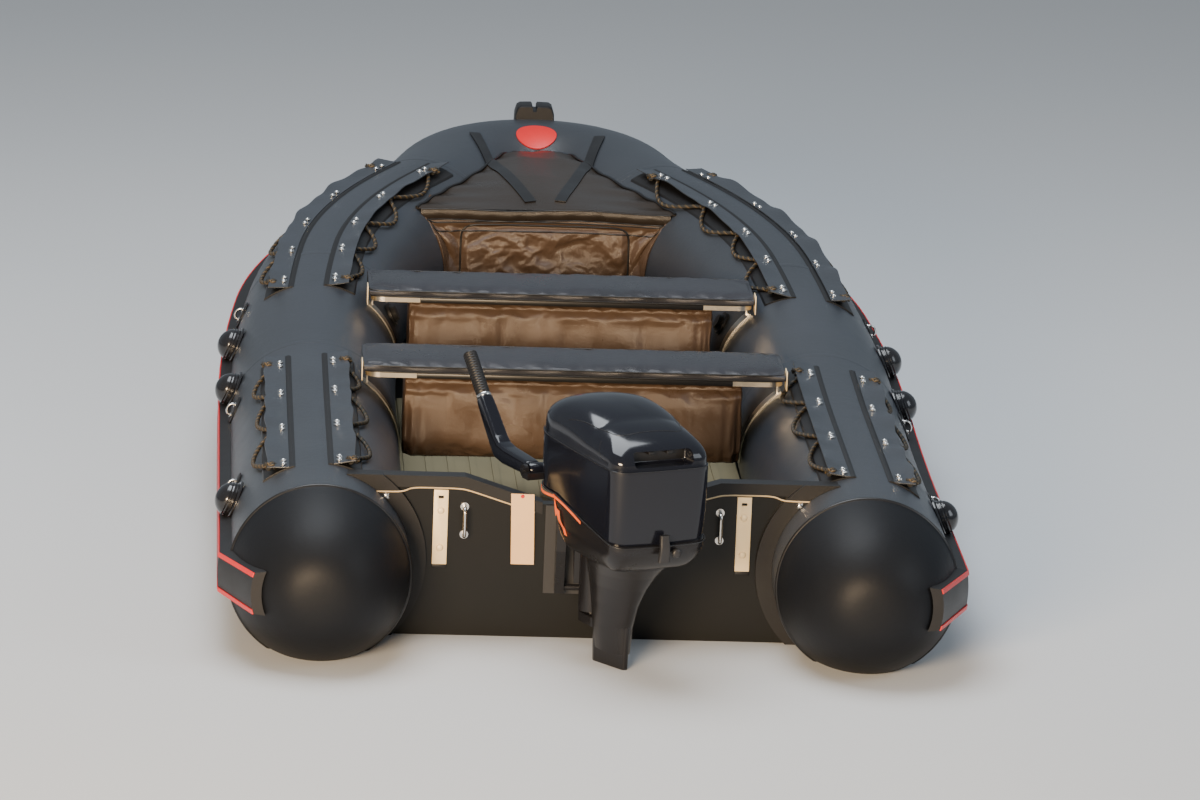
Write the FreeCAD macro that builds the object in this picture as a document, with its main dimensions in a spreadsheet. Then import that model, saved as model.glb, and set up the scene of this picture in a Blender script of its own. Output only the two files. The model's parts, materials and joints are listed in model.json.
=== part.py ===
import FreeCAD, Part

import math
import os

from FreeCAD import Placement, Rotation, Vector

# Inflatable rib boat of about 4.4 m with a 20 hp class tiller outboard.
# Millimetres. +Y is the bow, +X starboard, +Z up. The origin lies on the waterline,
# on the centreline, at the aft face of the transom.

SIZES = [
    # the buoyancy tube and its line in plan and sheer
    ("tube_radius", 235),
    ("tube_half_spacing", 706),
    ("tube_axis_rise", 200),
    ("tube_overhang", 178),
    ("lift_station", 700),
    ("bow_plane_station", 1500),
    ("sheer_angle", 4.6),
    ("shoulder_half", 398),
    ("shoulder_reach", 1722),
    ("shoulder_turn", 29),
    ("bow_reach", 2280),
    ("cone_length", 215),
    ("cone_end_radius", 150),
    ("cone_cap_depth", 55),
    ("rest_gap", 0.3),
    # rubbing strake and its two red lines
    ("strake_width", 118),
    ("strake_depth", 28),
    ("line_width", 12),
    ("line_depth", 3),
    ("line_offset", 41),
    # flaps with the grab line
    ("outer_flap_angle", 62),
    ("inner_flap_angle", 106),
    ("flap_width", 96),
    ("flap_thickness", 4),
    ("grab_line_radius", 6),
    ("grab_line_swing", 17),
    # side domes and lashing rings
    ("dome_angle", 22),
    ("dome_radius", 47),
    ("dome_rise", 55),
    ("dome_foot_radius", 56),
    ("ring_radius", 26),
    ("ring_wire", 4),
    # transom
    ("transom_thickness", 40),
    ("transom_top", 420),
    ("transom_shoulder_half", 332),
    ("transom_cut_top", 356),
    ("transom_cut_half", 130),
    ("trim_thickness", 5),
    ("trim_lap", 26),
    ("collar_width", 42),
    ("collar_thickness", 18),
    ("wheel_bracket_offset", 394),
    ("wheel_bracket_width", 38),
    ("wheel_bracket_top", 405),
    ("wheel_bracket_foot", 180),
    ("wheel_bracket_thickness", 6),
    ("tow_eye_offset", 332),
    ("tow_eye_top", 345),
    ("tow_eye_span", 74),
    ("tow_eye_wire", 5),
    ("tow_eye_reach", 34),
    ("pad_half_width", 122),
    ("pad_foot", 120),
    ("pad_thickness", 6),
    # hull and floor
    ("keel_depth", 170),
    ("deck_rise", 60),
    ("floor_thickness", 14),
    ("floor_half_width", 500),
    ("floor_end", 2380),
    ("floor_rib_height", 7),
    ("floor_rib_width", 18),
    ("floor_rib_pitch", 62),
    ("keel_guard_width", 36),
    ("keel_guard_depth", 10),
    # thwarts
    ("rear_thwart_station", 1050),
    ("front_thwart_station", 1850),
    ("thwart_depth", 260),
    ("thwart_end_inset", 134),
    ("thwart_front_end_inset", 164),
    ("thwart_underside", 444),
    ("thwart_front_underside", 482),
    ("thwart_board_thickness", 14),
    ("cushion_thickness", 26),
    ("cushion_overlap", 10),
    ("bag_wall_gap", 0.3),
    ("rear_bag_depth", 235),
    ("rear_bag_end_gap", 9),
    ("front_bag_depth", 190),
    ("front_bag_end_gap", 18),
    ("thwart_bracket_plate", 4),
    ("thwart_bracket_width", 42),
    # bow dodger and bag
    ("dodger_thickness", 6),
    ("bow_bag_depth", 150),
    ("bow_bag_foot", 215),
    ("bow_bag_top", 525),
    # bow fittings
    ("fairlead_width", 124),
    ("fairlead_rise", 42),
    ("fairlead_length", 90),
    ("bow_patch_half_width", 56),
    ("bow_patch_half_length", 62),
    ("bow_patch_thickness", 4),
    ("bow_patch_lean", 28),
    # outboard: axes
    ("tilt_axis_station", 10),
    ("tilt_axis_rise", 382),
    ("steer_axis_aft", 130),
    ("steer_rest_angle", 24),
    # outboard: clamp and swivel
    ("clamp_plate_inner", 70),
    ("clamp_plate_thickness", 24),
    ("clamp_aft_depth", 72),
    ("clamp_foot", 130),
    ("clamp_hook_reach", 36),
    ("clamp_hook_thickness", 20),
    ("clamp_hook_foot", 236),
    ("clamp_screw_radius", 9),
    ("clamp_screw_height", 260),
    ("tilt_tube_radius", 12),
    ("tilt_boss_radius", 24),
    ("swivel_radius", 36),
    ("swivel_bore_radius", 21),
    ("swivel_foot", 112),
    ("swivel_head", 404),
    ("pilot_radius", 20),
    # outboard: leg and gearcase
    ("leg_set_back", 112),
    ("leg_top_width", 104),
    ("leg_low_width", 58),
    ("cavitation_plate_rise", -165),
    ("cavitation_plate_thickness", 7),
    ("shaft_rise", -290),
    ("gearcase_radius", 41),
    ("skeg_foot", -434),
    ("skeg_thickness", 9),
    ("propeller_radius", 111),
    ("propeller_hub_radius", 33),
    ("propeller_hub_length", 74),
    ("propeller_shaft_radius", 9),
    ("gearcase_tail", 112),
    ("propeller_gap", 6),
    # outboard: tray and cowl
    ("cowl_half_width", 150),
    ("cowl_nose", 130),
    ("cowl_tail", 372),
    ("cowl_rear_corner", 42),
    ("seam_front_rise", 452),
    ("seam_knee_aft", 60),
    ("seam_knee_rise", 446),
    ("seam_rear_rise", 372),
    ("cowl_top_rise", 690),
    ("cowl_wall", 5),
    ("cowl_seam_gap", 0.6),
    ("tray_foot", 287),
    # outboard: tiller
    ("tiller_offset", 100),
    ("tiller_hinge_reach", 152),
    ("tiller_hinge_rise", 455),
    ("tiller_link_length", 200),
    ("tiller_arm_length", 165),
    ("tiller_arm_pitch", 46),
    ("tiller_arm_width", 50),
    ("grip_length", 135),
    ("grip_radius", 19),
]

doc = FreeCAD.newDocument("InflatableRibBoat")
sheet = doc.addObject("Spreadsheet::Sheet", "Sizes")
for row, (alias, number) in enumerate(SIZES, start=1):
    sheet.set("A%d" % row, alias)
    sheet.set("B%d" % row, str(number))
    sheet.setAlias("B%d" % row, alias)
doc.recompute()

nodes = []


def size(alias):
    return float(sheet.get(alias))


def keep(item, label, placement=None):
    """Registers a finished sub-part under its own label."""
    item.Label = label
    if placement is not None:
        item.Placement = placement
    nodes.append(item)
    return item


def feature(label, shape, placement=None):
    """A sub-part whose shape comes from Part's own functions."""
    item = doc.addObject("Part::Feature", label)
    item.Shape = shape
    return keep(item, label, (placement or Placement()).multiply(shape.Placement))


def joined(shapes):
    """Several solids of one node that do not touch."""
    return Part.makeCompound(shapes)


def fused(shapes):
    first, rest = shapes[0], shapes[1:]
    return first.fuse(rest).removeSplitter() if rest else first


def both_sides(shape):
    """The starboard shape and its mirror image to port."""
    return [shape, shape.mirror(Vector(0, 0, 0), Vector(1, 0, 0))]


def polygon(points, close=True):
    loop = list(points) + ([points[0]] if close else [])
    return Part.makePolygon([Vector(*p) for p in loop])


def prism(points, direction):
    """A closed outline of points, extruded by a vector."""
    return Part.Face(polygon(points)).extrude(Vector(*direction))


def block(low, high):
    spans = [high[i] - low[i] for i in range(3)]
    return Part.makeBox(spans[0], spans[1], spans[2], Vector(*low))


# The tube's centreline on the starboard side: a straight run, a long arc that lifts it
# into the sheer, and four tangent arcs in the inclined plane of the bow. The port side is
# its mirror image.

def two_arcs(start, start_dir, end, end_dir):
    """Two tangent arcs from start to end, each as (start, corner, end)."""
    span = end - start
    both = start_dir + end_dir
    a = 2 * start_dir.dot(end_dir) - 2
    b = -2 * span.dot(both)
    c = span.dot(span)
    root = math.sqrt(b * b - 4 * a * c)
    reach = max((-b - root) / (2 * a), (-b + root) / (2 * a))
    first_corner = start + start_dir * reach
    last_corner = end - end_dir * reach
    middle = (first_corner + last_corner) * 0.5
    return [(start, first_corner, middle), (middle, last_corner, end)]


class Run:
    """A piece of the centreline: straight, or an arc about its own axis."""

    def __init__(self, at, start, direction, upward, length, radius=0.0, toward=None):
        self.at = at
        self.start = start
        self.direction = direction
        self.upward = upward
        self.length = length
        self.radius = radius
        self.toward = toward
        if radius:
            self.centre = start + toward * radius
            self.axis = direction.cross(toward).normalize()

    def turned(self, vector, distance):
        if not self.radius:
            return Vector(vector)
        turn = Rotation(self.axis, math.degrees((distance - self.at) / self.radius))
        return turn.multVec(vector)

    def frame(self, distance):
        """Place, outboard, upward and onward at a distance along the tube."""
        onward = self.turned(self.direction, distance)
        upward = self.turned(self.upward, distance)
        if self.radius:
            place = self.centre + self.turned(self.start - self.centre, distance)
        else:
            place = self.start + self.direction * (distance - self.at)
        return place, onward.cross(upward), upward, onward

    def sweep(self, face, low, high):
        if not self.radius:
            return face.extrude(self.direction * (high - low))
        return face.revolve(self.centre, self.axis, math.degrees((high - low) / self.radius))


def centreline():
    half = size("tube_half_spacing")
    sheer = math.radians(size("sheer_angle"))
    ahead = Vector(0, math.cos(sheer), math.sin(sheer))
    upward = Vector(0, -math.sin(sheer), math.cos(sheer))
    stern = Vector(half, -size("tube_overhang"), size("tube_axis_rise"))
    lift = Vector(half, size("lift_station"), size("tube_axis_rise"))
    radius = (size("bow_plane_station") - size("lift_station")) / math.sin(sheer)
    length = (lift - stern).Length
    runs = [Run(0.0, stern, Vector(0, 1, 0), Vector(0, 0, 1), length)]
    runs.append(Run(length, lift, Vector(0, 1, 0), Vector(0, 0, 1), radius * sheer, radius, Vector(0, 0, 1)))
    knee = runs[-1].frame(length + radius * sheer)[0]
    turn = math.radians(size("shoulder_turn"))
    base = Vector(0, knee.y, knee.z)
    shoulder = base + ahead * size("shoulder_reach") + Vector(size("shoulder_half"), 0, 0)
    shoulder_dir = ahead * math.cos(turn) - Vector(math.sin(turn), 0, 0)
    bow = base + ahead * size("bow_reach")
    arcs = two_arcs(knee, ahead, shoulder, shoulder_dir) + two_arcs(shoulder, shoulder_dir, bow, Vector(-1, 0, 0))
    for start, corner, end in arcs:
        first = (corner - start).normalize()
        last = (end - corner).normalize()
        angle = first.getAngle(last)
        radius = (corner - start).Length / math.tan(angle / 2)
        toward = (last - first * first.dot(last)).normalize()
        at = runs[-1].at + runs[-1].length
        runs.append(Run(at, start, first, upward, radius * angle, radius, toward))
    return runs, bow


RUNS, BOW = centreline()
TUBE_LENGTH = RUNS[-1].at + RUNS[-1].length


def section_axes(distance):
    """Place, outboard, upward and onward at a distance along the tube from the stern."""
    for run in RUNS:
        if distance <= run.at + run.length:
            return run.frame(distance)
    return RUNS[-1].frame(distance)


def on_centreline(distance):
    place, _, _, onward = section_axes(distance)
    return place, onward


def swept(profile_at, start=0.0, end=None):
    """A section carried along the starboard centreline, square to it all the way."""
    finish = TUBE_LENGTH if end is None else end
    pieces = []
    for run in RUNS:
        low = max(start, run.at)
        high = min(finish, run.at + run.length)
        if high - low > 0.5:
            pieces.append(run.sweep(Part.Face(profile_at(low + 1e-7)), low, high))
    return fused(pieces)


def whole_loop(half):
    return half.fuse(half.mirror(Vector(0, 0, 0), Vector(1, 0, 0))).removeSplitter()


def tube_of(radius):
    def ring(distance):
        place, _, _, onward = section_axes(distance)
        return Part.Wire(Part.makeCircle(radius, place, onward))

    return swept(ring)


def on_tube(distance, angle, height):
    """A point over the tube's skin; the angle runs from outboard up and over."""
    place, outboard, upward, _ = section_axes(distance)
    reach = size("tube_radius") + height
    turn = math.radians(angle)
    return place + outboard * (reach * math.cos(turn)) + upward * (reach * math.sin(turn))


def band_profile(distance, low_angle, high_angle, low_height, high_height, edge=0.0):
    """A band on the tube's skin, between two angles and two heights over it."""
    corners = [
        (low_angle, low_height),
        (low_angle + edge, high_height),
        (high_angle - edge, high_height),
        (high_angle, low_height),
    ]
    middle = (low_angle + high_angle) / 2
    points = [on_tube(distance, angle, height) for angle, height in corners]
    outer = Part.Arc(points[1], on_tube(distance, middle, high_height), points[2])
    inner = Part.Arc(points[3], on_tube(distance, middle, low_height), points[0])
    edges = [
        Part.LineSegment(points[0], points[1]).toShape(),
        outer.toShape(),
        Part.LineSegment(points[2], points[3]).toShape(),
        inner.toShape(),
    ]
    return Part.Wire(edges)


def angle_of(width, height=0.0):
    """The angle that a width takes up on the tube's skin, in degrees."""
    return math.degrees(width / (size("tube_radius") + height))


# Buoyancy tube, stern cones, strake and its red lines

GAP = size("rest_gap")
TUBE_CLEAR_HALF = tube_of(size("tube_radius") + GAP)
TUBE_CLEAR = whole_loop(TUBE_CLEAR_HALF)


def clear_of_tube(shape):
    """Cuts a piece back to its seat on the tube."""
    return shape.cut(TUBE_CLEAR)


def solids_over(shape, least_volume):
    """The real pieces of a cut, without its crumbs."""
    return [solid for solid in shape.Solids if solid.Volume > least_volume]


def buoyancy_tube():
    feature("buoyancy_tube", whole_loop(tube_of(size("tube_radius"))).removeSplitter())


def cap_middle(radius, depth):
    """The point half way over a spherical cap: its distance from the axis, and its rise."""
    ball = (radius * radius + depth * depth) / (2 * depth)
    half_turn = math.asin(min(1.0, radius / ball)) / 2
    if depth > ball:
        half_turn = (math.pi - 2 * half_turn) / 2
    return ball * math.sin(half_turn), depth - ball * (1 - math.cos(half_turn))


def stern_cones():
    start = -size("tube_overhang")
    end = start - size("cone_length")
    tip = end - size("cone_cap_depth")
    small = size("cone_end_radius")
    cap_mid = cap_middle(small, size("cone_cap_depth"))
    edges = [
        Part.LineSegment(Vector(0, start, 0), Vector(size("tube_radius"), start, 0)),
        Part.LineSegment(Vector(size("tube_radius"), start, 0), Vector(small, end, 0)),
        Part.Arc(Vector(small, end, 0), Vector(cap_mid[0], end - cap_mid[1], 0), Vector(0, tip, 0)),
        Part.LineSegment(Vector(0, tip, 0), Vector(0, start, 0)),
    ]
    wire = Part.Wire([edge.toShape() for edge in edges])
    cone = Part.Face(wire).revolve(Vector(0, 0, 0), Vector(0, 1, 0), 360)
    cone.translate(Vector(size("tube_half_spacing"), 0, size("tube_axis_rise")))
    feature("stern_cones", joined(both_sides(cone)))


def cone_band(low_angle, high_angle, low_height, high_height, edge=0.0):
    """A band that runs on along the cone to its end, as wide there as on the tube."""
    wide = band_profile(0, low_angle, high_angle, low_height, high_height, edge)
    ratio = size("cone_end_radius") / size("tube_radius")
    middle = (low_angle + high_angle) / 2
    stretch = 1 / ratio
    low_end = middle - (middle - low_angle) * stretch
    high_end = middle + (high_angle - middle) * stretch
    if middle != 0:
        shift = middle * stretch - middle
        low_end += shift
        high_end += shift
    shrink = size("tube_radius") - size("cone_end_radius")
    narrow = band_profile(0, low_end, high_end, low_height - shrink, high_height - shrink, edge * stretch)
    narrow.translate(Vector(0, -size("cone_length"), 0))
    return Part.makeLoft([narrow, wide], True, True)


def rubbing_strake():
    half = angle_of(size("strake_width")) / 2
    depth = size("strake_depth")
    edge = half * 0.22
    run = swept(lambda at: band_profile(at, -half, half, GAP, depth, edge))
    cone_run = cone_band(-half, half, GAP + 0.6, depth, edge)
    feature("rubbing_strake", whole_loop(fused([run, cone_run])))


def strake_lines():
    low = size("strake_depth") + GAP
    high = low + size("line_depth")
    half = angle_of(size("line_width"), low) / 2
    lines = []
    for sign in (-1, 1):
        centre = sign * angle_of(size("line_offset"))
        ends = (centre - half, centre + half)
        run = swept(lambda at: band_profile(at, ends[0], ends[1], low, high))
        tail = cone_band(centre - half, centre + half, low, high)
        lines.append(whole_loop(fused([run, tail])))
    feature("strake_lines", joined(lines))


# Flaps with the grab lines, side domes, rings and valves

# columns: start and end of the flap, and the grommets between, along the tube from the stern
FLAPS = [
    (234, 1480, (280, 680, 1080, 1390)),
    (2150, 3520, (2220, 2520, 2810, 3110, 3430)),
]


def line_flaps(label, angle):
    half = angle_of(size("flap_width")) / 2
    flaps = []
    for start, end, _ in FLAPS:
        thick = size("flap_thickness")
        flap = swept(lambda at: band_profile(at, angle - half, angle + half, GAP, thick, 1.5), start, end)
        flaps += both_sides(flap)
    feature(label, joined(flaps))


def rounded_route(points, share=0.45):
    """Straight runs joined by tangent arcs."""
    edges = []
    start = points[0]
    for before, corner, after in zip(points, points[1:], points[2:]):
        back = before - corner
        onward = after - corner
        reach = share * min(back.Length, onward.Length)
        entry = corner + back.normalize() * reach
        leave = corner + onward.normalize() * reach
        turn = (corner - entry).getAngle(leave - corner)
        chord_mid = (entry + leave) * 0.5
        bulge = (leave - entry).Length / 2 * math.tan(turn / 4)
        top = chord_mid + (corner - chord_mid).normalize() * bulge
        edges.append(Part.LineSegment(start, entry).toShape())
        edges.append(Part.Arc(entry, top, leave).toShape())
        start = leave
    edges.append(Part.LineSegment(start, points[-1]).toShape())
    return Part.Wire(edges)


def rope(points, radius):
    path = rounded_route(points)
    circle = Part.Wire(Part.makeCircle(radius, points[0], points[1] - points[0]))
    return path.makePipeShell([circle], True, True)


def grab_line_points(grommets, angle, swing):
    """The line lies on the flap at each grommet and swings off it between two."""
    over_flap = size("flap_thickness") + size("grab_line_radius") + 2
    over_tube = size("grab_line_radius") + 3.5
    # columns: share of the way to the next grommet, share of the swing, height over the skin
    steps = [
        (0.0, 0.0, over_flap),
        (0.22, 0.62, over_flap),
        (0.5, 1.0, over_tube),
        (0.78, 0.66, over_flap),
    ]
    points = []
    for here, there in zip(grommets, grommets[1:]):
        for along, out, height in steps:
            points.append(on_tube(here + (there - here) * along, angle + swing * out, height))
    points.append(on_tube(grommets[-1], angle, over_flap))
    return points


def grab_lines(label, angle, swing):
    ropes = []
    for _, _, grommets in FLAPS:
        ropes += both_sides(rope(grab_line_points(grommets, angle, swing), size("grab_line_radius")))
    feature(label, joined(ropes))


# columns: distance along the tube from the stern
DOME_PLACES = [400, 1590, 2000]
RING_PLACES = [560, 1400, 2300]


def upright_on_tube(shape, distance, angle):
    """Moves a piece modelled about +Z to its seat on the tube's skin."""
    foot = on_tube(distance, angle, 0)
    place, _ = on_centreline(distance)
    turn = Rotation(Vector(0, 0, 1), foot - place)
    moved = shape.copy()
    moved.Placement = Placement(foot, turn)
    return moved


def clear_of_strake(shape, distance):
    """Cuts a piece back to the strake and its lines, near its own place on the tube."""
    half = angle_of(size("strake_width")) / 2 + 0.1
    height = size("strake_depth") + size("line_depth") + 2 * GAP
    reach = 90
    band = swept(lambda at: band_profile(at, -half, half, -1, height), distance - reach, distance + reach)
    return shape.cut(band)


def side_domes():
    foot = size("dome_foot_radius")
    radius = size("dome_radius")
    rise = size("dome_rise")
    below = -18
    flange = 6
    across, up = cap_middle(radius, rise - flange)
    edges = [
        Part.LineSegment(Vector(0, 0, below), Vector(foot, 0, below)),
        Part.LineSegment(Vector(foot, 0, below), Vector(foot, 0, flange)),
        Part.LineSegment(Vector(foot, 0, flange), Vector(radius, 0, flange)),
        Part.Arc(Vector(radius, 0, flange), Vector(across, 0, flange + up), Vector(0, 0, rise)),
        Part.LineSegment(Vector(0, 0, rise), Vector(0, 0, below)),
    ]
    wire = Part.Wire([edge.toShape() for edge in edges])
    dome = Part.Face(wire).revolve(Vector(0, 0, 0), Vector(0, 0, 1), 360)
    domes = []
    for distance in DOME_PLACES:
        seated = upright_on_tube(dome, distance, size("dome_angle")).cut(TUBE_CLEAR_HALF)
        seated = clear_of_strake(seated, distance)
        domes += both_sides(max(seated.Solids, key=lambda solid: solid.Volume))
    feature("side_domes", joined(domes))


def side_rings():
    wire = size("ring_wire")
    foot = size("ring_radius") + 14
    pad = Part.makeCylinder(foot, 16, Vector(0, 0, -12))
    eye = Part.makeTorus(size("ring_radius") * 0.62, wire, Vector(0, 0, 4), Vector(0, 1, 0))
    lower = block((-60, -60, -60), (60, 60, 3))
    rings = []
    for distance in RING_PLACES:
        base = upright_on_tube(fused([pad, eye.cut(lower)]), distance, size("dome_angle"))
        seated = clear_of_strake(base.cut(TUBE_CLEAR_HALF), distance)
        rings += both_sides(max(seated.Solids, key=lambda solid: solid.Volume))
    feature("side_rings", joined(rings))


def inflation_valves():
    body = Part.makeCylinder(34, 20, Vector(0, 0, -12))
    cap = Part.makeCone(26, 20, 12, Vector(0, 0, 8))
    valves = []
    for distance in (450, 2300):
        seated = upright_on_tube(fused([body, cap]), distance, 152).cut(TUBE_CLEAR_HALF)
        valves += both_sides(solids_over(seated, 1000)[0])
    feature("inflation_valves", joined(valves))


# Rigid hull, floor and keel guard

# columns: station, keel rise, chine half breadth, chine rise, edge half breadth, edge rise
HULL_SECTIONS = [
    (size("transom_thickness"), -size("keel_depth"), 560, -15, 600, size("deck_rise")),
    (1500, -size("keel_depth"), 560, -12, 600, size("deck_rise")),
    (2400, -size("keel_depth") + 22, 520, 10, 575, size("deck_rise")),
    (3000, -68, 400, 92, 450, 150),
    (3450, 120, 165, 232, 200, 285),
    (3640, 300, 22, 330, 26, 352),
]


def hull_wire(station, keel, chine_x, chine_z, edge_x, edge_z):
    points = [
        (0, station, keel),
        (chine_x, station, chine_z),
        (edge_x, station, edge_z),
        (-edge_x, station, edge_z),
        (-chine_x, station, chine_z),
    ]
    return polygon(points)


def rigid_hull():
    solid = Part.makeLoft([hull_wire(*row) for row in HULL_SECTIONS], True, True)
    feature("rigid_hull", solids_over(clear_of_tube(solid), 1e6)[0])


def deck_floor():
    low = size("deck_rise")
    half = size("floor_half_width")
    top = low + size("floor_thickness")
    start = size("transom_thickness") + 6
    middle = (start + size("floor_end")) / 2
    gap = 4
    panels = []
    for begin, end in ((start, middle - gap / 2), (middle + gap / 2, size("floor_end"))):
        panel = block((-half, begin, low), (half, end, top))
        ribs = []
        count = int((half - 30) / size("floor_rib_pitch"))
        for index in range(-count, count + 1):
            centre = index * size("floor_rib_pitch")
            side = size("floor_rib_width") / 2
            rib_top = top + size("floor_rib_height")
            ribs.append(block((centre - side, begin, top), (centre + side, end, rib_top)))
        panels.append(clear_of_tube(fused([panel] + ribs)))
    feature("deck_floor", joined(panels))


def keel_guard():
    half = size("keel_guard_width") / 2
    depth = size("keel_guard_depth")
    sections = []
    for station, keel, chine_x, chine_z, _, _ in HULL_SECTIONS[:5]:
        lift = (chine_z - keel) / chine_x * half
        points = [
            (0, station, keel + 2),
            (half, station, keel + lift + 2),
            (half * 0.6, station, keel - depth),
            (-half * 0.6, station, keel - depth),
            (-half, station, keel + lift + 2),
        ]
        sections.append(polygon(points))
    lowered_hull = Part.makeLoft([hull_wire(*row) for row in HULL_SECTIONS], True, True)
    lowered_hull.translate(Vector(0, 0, -GAP))
    guard = Part.makeLoft(sections, True, True).cut(lowered_hull)
    feature("keel_guard", max(guard.Solids, key=lambda solid: solid.Volume))


# Transom and what is bolted to it

def transom_outline(drop=0.0):
    """Half outline of the transom's top edge, from the cut-out to the tube."""
    half_cut = size("transom_cut_half")
    half_shoulder = size("transom_shoulder_half")
    return [
        (half_cut, size("transom_cut_top") - drop),
        (half_shoulder, size("transom_top") - drop),
        (640, size("transom_top") - drop),
    ]


def transom_board():
    """Sketched outline, padded by the board's thickness and cut back to the tube."""
    body = doc.addObject("PartDesign::Body", "TransomBlank")
    plane = [item for item in body.Origin.OriginFeatures if item.Role == "XZ_Plane"][0]
    sketch = body.newObject("Sketcher::SketchObject", "TransomOutline")
    sketch.AttachmentSupport = (plane, [""])
    sketch.MapMode = "FlatFace"
    _, keel, chine_x, chine_z, edge_x, edge_z = HULL_SECTIONS[0]
    right = [(chine_x, chine_z), (edge_x, edge_z), (640, 200)] + transom_outline()[::-1]
    left = [(-x, z) for x, z in right[::-1]]
    corners = [Vector(x, z, 0) for x, z in [(0, keel)] + right + left]
    for start, end in zip(corners, corners[1:] + corners[:1]):
        sketch.addGeometry(Part.LineSegment(start, end), False)
    pad = body.newObject("PartDesign::Pad", "TransomPad")
    pad.Profile = sketch
    pad.setExpression("Length", "Sizes.transom_thickness")
    pad.Reversed = True
    doc.recompute()
    feature("transom_board", solids_over(clear_of_tube(body.Shape), 1e5)[0])


def transom_top_trim():
    """A channel over the board's top edge, outboard of the motor's cut-out."""
    lap = size("trim_lap")
    thick = size("trim_thickness")
    upper = transom_outline(-thick)
    lower = transom_outline(lap)
    points = [(x, -thick, z) for x, z in upper + lower[::-1]]
    depth = size("transom_thickness") + 2 * thick
    band = prism(points, (0, depth, 0))
    core_low = transom_outline(lap + 20)
    core_points = [(x, 0, z) for x, z in transom_outline() + core_low[::-1]]
    core = prism(core_points, (0, size("transom_thickness"), 0))
    channel = clear_of_tube(band.cut(core))
    collar = collar_shape(size("collar_thickness") + 2)
    pieces = solids_over(channel.cut(collar), 1000)
    feature("transom_top_trim", joined(both_sides(max(pieces, key=lambda solid: solid.Volume))))


def collar_shape(thickness):
    """The moulded collar that seals the tube to the transom's aft face."""
    axis = Vector(size("tube_half_spacing"), -thickness, size("tube_axis_rise"))
    inner = size("tube_radius") + GAP
    ring = Part.makeCylinder(inner + size("collar_width"), thickness, axis, Vector(0, 1, 0))
    ring = ring.cut(Part.makeCylinder(inner, thickness, axis, Vector(0, 1, 0)))
    window = prism(
        [(0, -thickness, -40), (560, -thickness, -40), (700, -thickness, 200), (640, -thickness, 428), (0, -thickness, 428)],
        (0, thickness, 0),
    )
    return ring.common(window)


def transom_collars():
    solid = solids_over(collar_shape(size("collar_thickness")), 1000)[0]
    feature("transom_collars", joined(both_sides(solid)))


def wheel_brackets():
    """Two flat alloy straps for launching wheels, with their bolt heads."""
    offset = size("wheel_bracket_offset")
    half = size("wheel_bracket_width") / 2
    thick = size("wheel_bracket_thickness")
    foot = size("wheel_bracket_foot")
    top = size("wheel_bracket_top") - size("trim_lap") + 10
    plate = block((offset - half, -thick, foot), (offset + half, 0, top))
    slot = block((offset - 7, -thick - 1, top - 24), (offset + 7, 1, top - 16))
    plate = plate.cut(slot)
    bolts = []
    for height in (top - 55, foot + 55):
        head = Part.makeSphere(9, Vector(offset, -thick + 3, height))
        bolts.append(head.common(block((offset - 12, -thick - 12, height - 12), (offset + 12, -thick, height + 12))))
    feature("wheel_brackets", joined(both_sides(fused([plate] + bolts))))


def tow_eyes():
    wire = size("tow_eye_wire")
    half = size("tow_eye_span") / 2
    middle = size("tow_eye_top") - half
    offset = size("tow_eye_offset") - 0
    reach = size("tow_eye_reach")
    legs = []
    bend = wire * 2.4
    points = [
        Vector(offset, 0, middle + half),
        Vector(offset, -reach, middle + half),
        Vector(offset, -reach, middle - half),
        Vector(offset, 0, middle - half),
    ]
    inner = [
        Part.LineSegment(points[0], points[1] + Vector(0, bend, 0)).toShape(),
        Part.Arc(
            points[1] + Vector(0, bend, 0),
            points[1] + Vector(0, bend * 0.293, -bend * 0.293),
            points[1] + Vector(0, 0, -bend),
        ).toShape(),
        Part.LineSegment(points[1] + Vector(0, 0, -bend), points[2] + Vector(0, 0, bend)).toShape(),
        Part.Arc(
            points[2] + Vector(0, 0, bend),
            points[2] + Vector(0, bend * 0.293, bend * 0.293),
            points[2] + Vector(0, bend, 0),
        ).toShape(),
        Part.LineSegment(points[2] + Vector(0, bend, 0), points[3]).toShape(),
    ]
    circle = Part.Wire(Part.makeCircle(wire, points[0], Vector(0, -1, 0)))
    legs.append(Part.Wire(inner).makePipeShell([circle], True, True))
    for height in (middle + half, middle - half):
        legs.append(Part.makeCylinder(wire * 2.2, 3, Vector(offset, -3, height), Vector(0, 1, 0)))
    feature("tow_eyes", joined(both_sides(fused(legs))))


def motor_pads():
    half = size("pad_half_width")
    thick = size("pad_thickness")
    front = size("transom_thickness")
    low = size("pad_foot")
    top = size("transom_cut_top") - 2
    aft_pad = block((-half, -thick, low), (half, 0, top))
    inner_pad = block((-half, front, low + 80), (half, front + thick, top))
    feature("motor_pads", joined([aft_pad, inner_pad]))


# Thwarts with their cushions, bags and end brackets

# columns: name, station, half length, underside, bag half length, bag depth
THWARTS = [
    (
        "rear",
        size("rear_thwart_station"),
        size("tube_half_spacing") - size("thwart_end_inset"),
        size("thwart_underside"),
        size("rear_bag_end_gap"),
        size("rear_bag_depth"),
    ),
    (
        "front",
        size("front_thwart_station"),
        size("tube_half_spacing") - size("thwart_front_end_inset"),
        size("thwart_front_underside"),
        size("front_bag_end_gap"),
        size("front_bag_depth"),
    ),
]


def rounded_block(low, high, radius, edges_along=None):
    """A block with its edges rounded, all of them or those along one axis."""
    solid = block(low, high)
    chosen = []
    for edge in solid.Edges:
        run = edge.Vertexes[1].Point - edge.Vertexes[0].Point
        if edges_along is None or abs(run[edges_along]) > 1e-6:
            chosen.append(edge)
    return solid.makeFillet(radius, chosen)


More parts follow.
